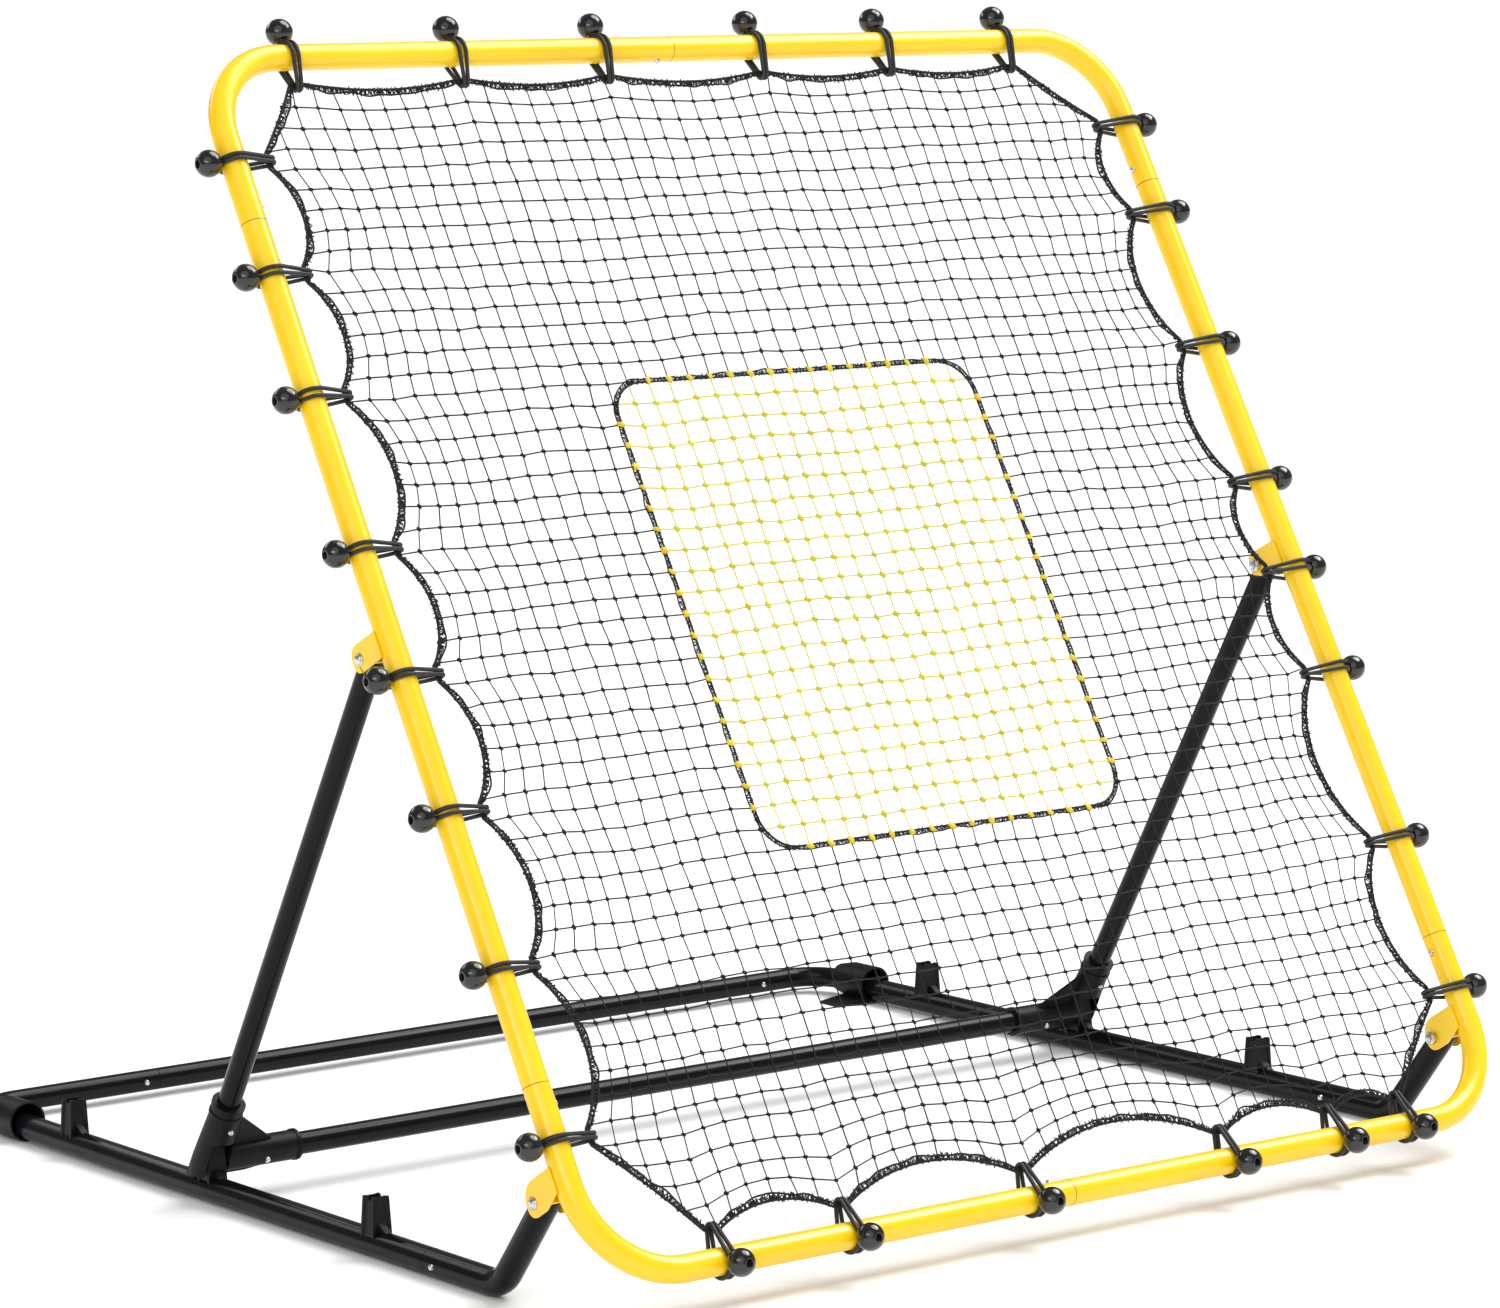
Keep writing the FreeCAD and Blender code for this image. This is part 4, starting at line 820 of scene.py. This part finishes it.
def knot_place(i, j):
    """Where a knot settles: its even place, drawn to the rope near the edge, with slight slack."""
    x, up = columns[i], rows[j]
    drawn = Vector((x + left_pull[j] * fading(x + side_edge)
                    + right_pull[j] * fading(side_edge - x),
                    up + low_pull[i] * fading(up - low_edge)
                    + high_pull[i] * fading(high_edge - up)))
    ease = min(1.0, abs(past_window(drawn)) / taut_reach)
    free = ease * min(rings_in(i, j), taut_rings) / taut_rings
    drift = noise.noise_vector(Vector((x / drift_scale, up / drift_scale, 4.0)))
    shake = noise.noise_vector(Vector((i * 3.7, j * 2.9, 9.0)))
    loose = [drift[axis] * most_drift + shake[axis] * most_shake for axis in (0, 1)]
    return drawn + Vector(loose) * free


rope_grasp = 7


def drawn_to_rope(i, j):
    """A knot's place, on the rope itself where an outer knot comes close to it."""
    spot = knot_place(i, j)
    if rings_in(i, j) > taut_rings:
        return spot
    nearest = min(rope_course, key=lambda point: (point - spot).length)
    return nearest.copy() if (nearest - spot).length < rope_grasp else spot


knots = [[drawn_to_rope(i, j) for j in range(len(rows))] for i in range(len(columns))]


sway_scale, most_sway = 70, 1.2
cutting_steps = 10


def net_points(kept, skipped, ends_tied):
    """Twine runs between kept knots, cut where they leave the net, and a point for each knot."""
    spots, edges, marks = [], [], []

    def add(spot, mark=False):
        sway = noise.noise(Vector((spot.x / sway_scale, spot.y / sway_scale, 2.0))) * most_sway
        spots.append(on_frame(spot.x, spot.y, sway))
        marks.append(mark)
        return len(spots) - 1

    for line in knots + list(zip(*knots)):
        last = None
        for here, there in zip(line, line[1:]):
            starts, ends = kept(here), kept(there)
            if not starts and not ends or skipped(here, there):
                last = None
                continue
            low, high = (here, there) if starts else (there, here)
            if starts != ends:
                for step in range(cutting_steps):
                    middle = (low + high) / 2
                    low, high = (middle, high) if kept(middle) else (low, middle)
            begin = last if starts and last is not None else add(here if starts else low)
            finish = add(there if ends else low)
            edges.append((begin, finish))
            if ends_tied and starts != ends:
                marks[finish if starts else begin] = True
            last = finish if ends else None
    for column in knots:
        for spot in column:
            if kept(spot):
                add(spot, True)
    return spots, edges, marks


def knotted_twine():
    """A tree that turns a net's edges into twine and ties a knot on each marked point."""
    tree, given, out = new_group("knotted_twine", "GeometryNodeTree", {
        "Net": "Geometry", "Twine Radius": "Float", "Knot Radius": "Float", "Sides": "Int",
        "Seed": "Int", "Twine Finish": "Material", "Knot Finish": "Material"},
        {"Net": "Geometry"})
    net = given.outputs["Net"]
    lines = lay(tree, "GeometryNodeMeshToCurve", {0: net})
    section = lay(tree, "GeometryNodeCurvePrimitiveCircle", {
        "Resolution": given.outputs["Sides"], "Radius": given.outputs["Twine Radius"]})
    twine = lay(tree, "GeometryNodeCurveToMesh", {
        "Curve": lines.outputs[0], "Profile Curve": section.outputs[0], "Fill Caps": True})
    twine = lay(tree, "GeometryNodeSetMaterial", {
        0: twine.outputs[0], "Material": given.outputs["Twine Finish"]})
    mark = lay(tree, "GeometryNodeInputNamedAttribute", {"Name": "knot"}, data_type="BOOLEAN")
    lump = lay(tree, "GeometryNodeMeshIcoSphere", {
        "Radius": given.outputs["Knot Radius"], "Subdivisions": 1})
    turn = lay(tree, "FunctionNodeRandomValue", {
        0: (-0.3, -0.3, -1.1), 1: (0.3, 0.3, -0.2), "Seed": given.outputs["Seed"]},
        data_type="FLOAT_VECTOR")
    level = lay(tree, "FunctionNodeEulerToRotation", {0: turn.outputs[0]})
    leaned = lay(tree, "FunctionNodeRotateRotation", {
        "Rotation": level.outputs[0], "Rotate By": (math.pi / 2 - lean, 0, 0)},
        rotation_space="GLOBAL")
    stretch = lay(tree, "FunctionNodeRandomValue", {
        0: (1.0, 0.65, 0.7), 1: (1.4, 0.95, 0.9), "Seed": given.outputs["Seed"]},
        data_type="FLOAT_VECTOR")
    tied = lay(tree, "GeometryNodeInstanceOnPoints", {
        "Points": net, "Selection": mark.outputs[0], "Instance": lump.outputs[0],
        "Rotation": leaned.outputs[0], "Scale": stretch.outputs[0]})
    whole = lay(tree, "GeometryNodeRealizeInstances", {0: tied.outputs[0]})
    tied = lay(tree, "GeometryNodeSetMaterial", {
        0: whole.outputs[0], "Material": given.outputs["Knot Finish"]})
    both = lay(tree, "GeometryNodeJoinGeometry")
    tree.links.new(twine.outputs[0], both.inputs[0])
    tree.links.new(tied.outputs[0], both.inputs[0])
    smooth = lay(tree, "GeometryNodeSetShadeSmooth", {0: both.outputs[0]})
    tree.links.new(smooth.outputs[0], out.inputs[0])
    return tree


def net_mesh(name, points):
    spots, edges, marks = points
    mesh = bpy.data.meshes.new(name)
    mesh.from_pydata(spots, edges, [])
    mesh.attributes.new("knot", "BOOLEAN", "POINT").data.foreach_set("value", marks)
    return mesh


def twisted():
    """Twisted twine and its knots: short fibres that vary in shade from place to place."""
    group, given, out = new_finish("twisted", "Fibre", "Relief")
    fibres = noise_at(group, 900.0)
    patches = worked(group, "MULTIPLY", fibres, noise_at(group, 25.0))
    colour = mixed(group, stretched(group, patches, 0.1, 0.45), given.outputs["Color"],
                   given.outputs["Fibre"])
    return end_finish(group, given, out, colour, fibres, fibres, "Relief", dulling=0.2,
                      depth=0.0003)


twine_skin = twisted()
black_twine = surface("black_twine", twine_skin, {
    "Color": (0.004, 0.004, 0.004), "Fibre": (0.015, 0.015, 0.015), "Gloss": 0.6,
    "Relief": 0.4}, Specular_IOR_Level=0.3)
twine_tree = knotted_twine()


window_margin, line_margin = 0.5, 0.6
past_rope = 5


def in_main_net(spot):
    return past_window(spot) > window_margin and inside_rope(spot)


def on_window_line(spot):
    return abs(past_window(spot)) < line_margin


def along_border(here, there):
    """True for a run of twine that the border rope or the window's cord takes the place of."""
    beyond = [spot + (spot - net_middle).normalized() * past_rope for spot in (here, there)]
    return (on_window_line(here) and on_window_line(there)) or not any(
        inside_rope(spot) for spot in beyond)


main_points = net_points(in_main_net, along_border, True)
main_net = grown("knotted_net", net_mesh("net_runs", main_points),
                 twine_tree, Twine_Radius=0.00082, Knot_Radius=0.0028, Sides=4, Seed=3,
                 Twine_Finish=black_twine, Knot_Finish=black_twine)
new_piece("knotted_net", main_net, "leaning_frame", None, ["rebound_net"])

# The target net fills the window. It is knotted from fine yellow twine with mustard knots and
# hangs in its own braided black cord, which an amber knot holds at every mesh.
yellow_twine = surface("yellow_twine", twine_skin, {
    "Color": (0.48, 0.48, 0.04), "Fibre": (0.70, 0.68, 0.10), "Gloss": 0.5, "Relief": 0.4})
mustard_knot = surface("mustard_knot", twine_skin, {
    "Color": (0.50, 0.42, 0.006), "Fibre": (0.74, 0.64, 0.03), "Gloss": 0.5, "Relief": 0.5})
amber_knot = surface("amber_knot", twine_skin, {
    "Color": (0.62, 0.42, 0.006), "Fibre": (0.90, 0.70, 0.03), "Gloss": 0.5, "Relief": 0.5})


def in_target(spot):
    return past_window(spot) < -window_margin


target_points = net_points(in_target, lambda here, there: False, False)
target_mesh = grown("target_twine", net_mesh("target_runs", target_points), twine_tree,
                    Twine_Radius=0.00080, Knot_Radius=0.0037, Sides=4, Seed=5,
                    Twine_Finish=yellow_twine, Knot_Finish=mustard_knot)
new_piece("target_twine", target_mesh, "leaning_frame", None, ["target_net"])

window_course = []
corner_steps = 8
for x_side, up_side, first in ((1, 1, 90), (-1, 1, 180), (-1, -1, 270), (1, -1, 360)):
    centre = Vector((x_side * (window_half - window_corner),
                     (window_high if up_side > 0 else window_low) - up_side * window_corner))
    for step in range(corner_steps + 1):
        angle = math.radians(first - 90 + step * 90 / corner_steps)
        window_course.append(centre + Vector((math.cos(angle), math.sin(angle))) * window_corner)
window_line = [on_frame(spot.x, spot.y) for spot in window_course]
form = bmesh.new()
laced_rope(form, window_line, heavy=0.0011, light=0.0009, apart=-0.0042, lace=0.00050,
           pitch=0.0070, ties=[])
new_piece("target_cord", closed_mesh(form, "target_cord"), "leaning_frame",
          black_cord, ["target_border"])

border_knots = [spot for column in knots for spot in column if on_window_line(spot)]
knot_mesh = net_mesh("border_knots", ([on_frame(spot.x, spot.y) for spot in border_knots], [],
                                      [True] * len(border_knots)))
amber = grown("target_cord_knots", knot_mesh, twine_tree, Twine_Radius=0.0006,
              Knot_Radius=0.0048, Sides=4, Seed=8, Twine_Finish=amber_knot,
              Knot_Finish=amber_knot)
new_piece("target_cord_knots", amber, "leaning_frame", None)

# Each of 28 ball bungees is an elastic cord doubled round the tube and the border rope, with
# its two ends held in a moulded ball. The balls hang outside the frame, and those of the
# bottom bar sit in front of it.
cord_radius = 0.0023
tube_gap, cord_seat = 0.3, 0.0025
tube_path = (tube_radius + tube_gap) * millimetre + cord_seat
rope_path = 0.0055
ball_radius = 0.0147
ball_seat = 0.0307
tube_spread, rope_spread = (0.0025, 0.0043), (0.0023, 0.0026)
round_tube, round_rope = 20, 10
tie_shape = random.Random(11)
bottom_turn = math.radians(-68)
ties = [(Vector((x, frame_height)), Vector((x, high_edge)), sideways, 0.0) for x in top_ties]
ties += [(Vector((-half_frame, up)), Vector((-side_edge, up)), up_frame, 0.0) for up in left_ties]
ties += [(Vector((half_frame, up)), Vector((side_edge, up)), up_frame, 0.0) for up in right_ties]
ties += [(Vector((x, 0)), Vector((x, low_edge)), sideways, bottom_turn) for x in bottom_ties]


def bungee_strand(tube, rope, along, way, spreads):
    """One strand of a doubled cord, round the tube and the rope, closer together at the rope."""
    toward = (rope - tube).normalized()
    side_way = toward.cross(along)
    opening = math.acos((tube_path - rope_path) / (rope - tube).length)
    line = []
    for centre, radius, first, last, spread, count in (
            (tube, tube_path, opening, 2 * math.pi - opening, spreads[0], round_tube),
            (rope, rope_path, -opening, opening, spreads[1], round_rope)):
        for step in range(count + 1):
            angle = first + (last - first) * step / count
            line.append(centre + (toward * math.cos(angle) + side_way * math.sin(angle)) * radius
                        + along * (way * spread))
    return line


bungee_cord = surface("bungee_cord", cord_skin, {
    "Color": (0.008, 0.008, 0.009), "Fleck and Crest Light": (0.030, 0.030, 0.032), "Yarns": 340.0,
    "Gloss": 0.42, "Relief": 0.5})
form = bmesh.new()
ball_spots, ball_axes = [], []
for tube_spot, rope_spot, along, turn in ties:
    tube, rope = on_frame(*tube_spot), on_frame(*rope_spot)
    spreads = tie_shape.uniform(*tube_spread), tie_shape.uniform(*rope_spread)
    for way in (-1, 1):
        swept(form, bungee_strand(tube, rope, along, way, spreads), cord_radius, 8, along)
    toward = (rope - tube).normalized()
    outward = toward.cross(along) * math.sin(turn) - toward * math.cos(turn)
    ball_spots.append(tube + outward * ball_seat)
    ball_axes.append(outward)
new_piece("bungee_cords", closed_mesh(form, "bungee_cords"), "leaning_frame",
          bungee_cord, ["bungee_loops"])

ball_foot = [(-0.0128, 0), (-0.0128, 0.0058), (-0.0124, 0.0066), (-0.0116, 0.0069),
             (-0.0108, 0.0067)]
ball_hole = [(0.0136, 0.0042), (0.0129, 0.0040), (0.0062, 0.0038), (0.0056, 0)]
ball_steps = 14
hole_radius = 0.0046
lowest, highest = math.radians(-52), math.acos(hole_radius / ball_radius)
ball_angles = [lowest + (highest - lowest) * step / ball_steps for step in range(ball_steps + 1)]
round_side = [(ball_radius * math.sin(angle), ball_radius * math.cos(angle))
              for angle in ball_angles]
form = bmesh.new()
turned(form, ball_foot + round_side + ball_hole, origin, upright, 28)
ball_lender = form_object(form, "ball_pattern")
gloss_black = surface("moulded_gloss_black", plastic, {
    "Color": (0.008, 0.008, 0.009), "Worn": (0.012, 0.012, 0.013), "Gloss": 0.06,
    "Grain": 0.04}, Coat_Weight=0.4, Coat_Roughness=0.05)
balls = grown("bungee_ball_set", points_mesh("ball_points", ball_spots, ball_axes), copies_tree,
              Form=ball_lender, Finish=gloss_black)
bpy.data.objects.remove(ball_lender)
new_piece("bungee_ball_set", balls, "leaning_frame", None, ["bungee_balls"])

# The set is a plain white floor under an even sky, with a soft high sun on the right, a weaker
# one on the left, and three lamps for the streaks. The camera stands where the photograph's did.
floor_skin = surface("pale_floor", plastic, {
    "Color": (0.87, 0.87, 0.87), "Worn": (0.86, 0.86, 0.86), "Gloss": 0.8, "Grain": 0.0},
    Specular_IOR_Level=0.0)
form = bmesh.new()
floor_half, floor_drop = 60.0, 0.0002
form.faces.new([form.verts.new(Vector((x * floor_half, y * floor_half, -floor_drop)))
                for x, y in ((-1, -1), (1, -1), (1, 1), (-1, 1))])
floor_mesh = bpy.data.meshes.new("floor")
form.to_mesh(floor_mesh)
form.free()
floor_mesh.materials.append(floor_skin)
placed("floor", floor_mesh)

scene = bpy.context.scene
scene.view_settings.view_transform = "Standard"
world = bpy.data.worlds.new("studio")
world.use_nodes = True
sky = world.node_tree
ray = lay(sky, "ShaderNodeLightPath")
sky_strength, backdrop_lift, gloss_cut = 0.60, 0.45, -0.38
lifted = lay(sky, "ShaderNodeMath", {0: ray.outputs["Is Camera Ray"], 1: backdrop_lift,
                                     2: sky_strength}, operation="MULTIPLY_ADD")
dimmed = lay(sky, "ShaderNodeMath", {0: ray.outputs["Is Glossy Ray"], 1: gloss_cut,
                                     2: lifted.outputs[0]}, operation="MULTIPLY_ADD")
sky.nodes["Background"].inputs["Color"].default_value = (1.0, 1.0, 1.0, 1)
sky.links.new(dimmed.outputs[0], sky.nodes["Background"].inputs["Strength"])
scene.world = world
aim = Vector((0, 0, 0.5))


def add_light(kind, name, place, energy, **shape):
    """A light that looks at the middle of the object."""
    light = bpy.data.lights.new(name, kind)
    light.energy = energy
    for word, value in shape.items():
        setattr(light, word, value)
    lamp = placed(name, light)
    lamp.location = place
    lamp.rotation_mode = "QUATERNION"
    lamp.rotation_quaternion = (aim - Vector(place)).to_track_quat("-Z", "Y")


add_light("SUN", "high_sun", (2.2, -0.2, 4.2), 2.2, angle=math.radians(42))
add_light("SUN", "left_sun", (-3.0, -3.2, 3.2), 0.7, angle=math.radians(60))
for name, place, width, height, power in (
        ("key_light", (2.6, -0.9, 3.6), 2.4, 1.0, 45),
        ("fill_light", (-4.2, -2.6, 2.6), 2.6, 1.0, 30),
        ("back_light", (-1.0, 4.2, 3.0), 3.0, 1.0, 25)):
    add_light("AREA", name, place, power, shape="RECTANGLE", size=width, size_y=height)

camera_yaw, camera_dip, camera_roll = (math.radians(angle) for angle in (37.747, 7.434, -0.596))
forward = Vector((math.sin(camera_yaw) * math.cos(camera_dip),
                  math.cos(camera_yaw) * math.cos(camera_dip), -math.sin(camera_dip)))
level = Vector((math.cos(camera_yaw), -math.sin(camera_yaw), 0))
above = level.cross(forward)
right = level * math.cos(camera_roll) + above * math.sin(camera_roll)
top = above * math.cos(camera_roll) - level * math.sin(camera_roll)
camera_place = (-3.595, -4.6835, 1.3268)
camera = placed("camera", bpy.data.cameras.new("camera"))
camera.matrix_world = Matrix.Translation(camera_place) @ Matrix(
    (right, top, -forward)).transposed().to_4x4()
camera.data.lens = 126.83
camera.data.sensor_width = 36
camera.data.clip_end = 200
scene.camera = camera
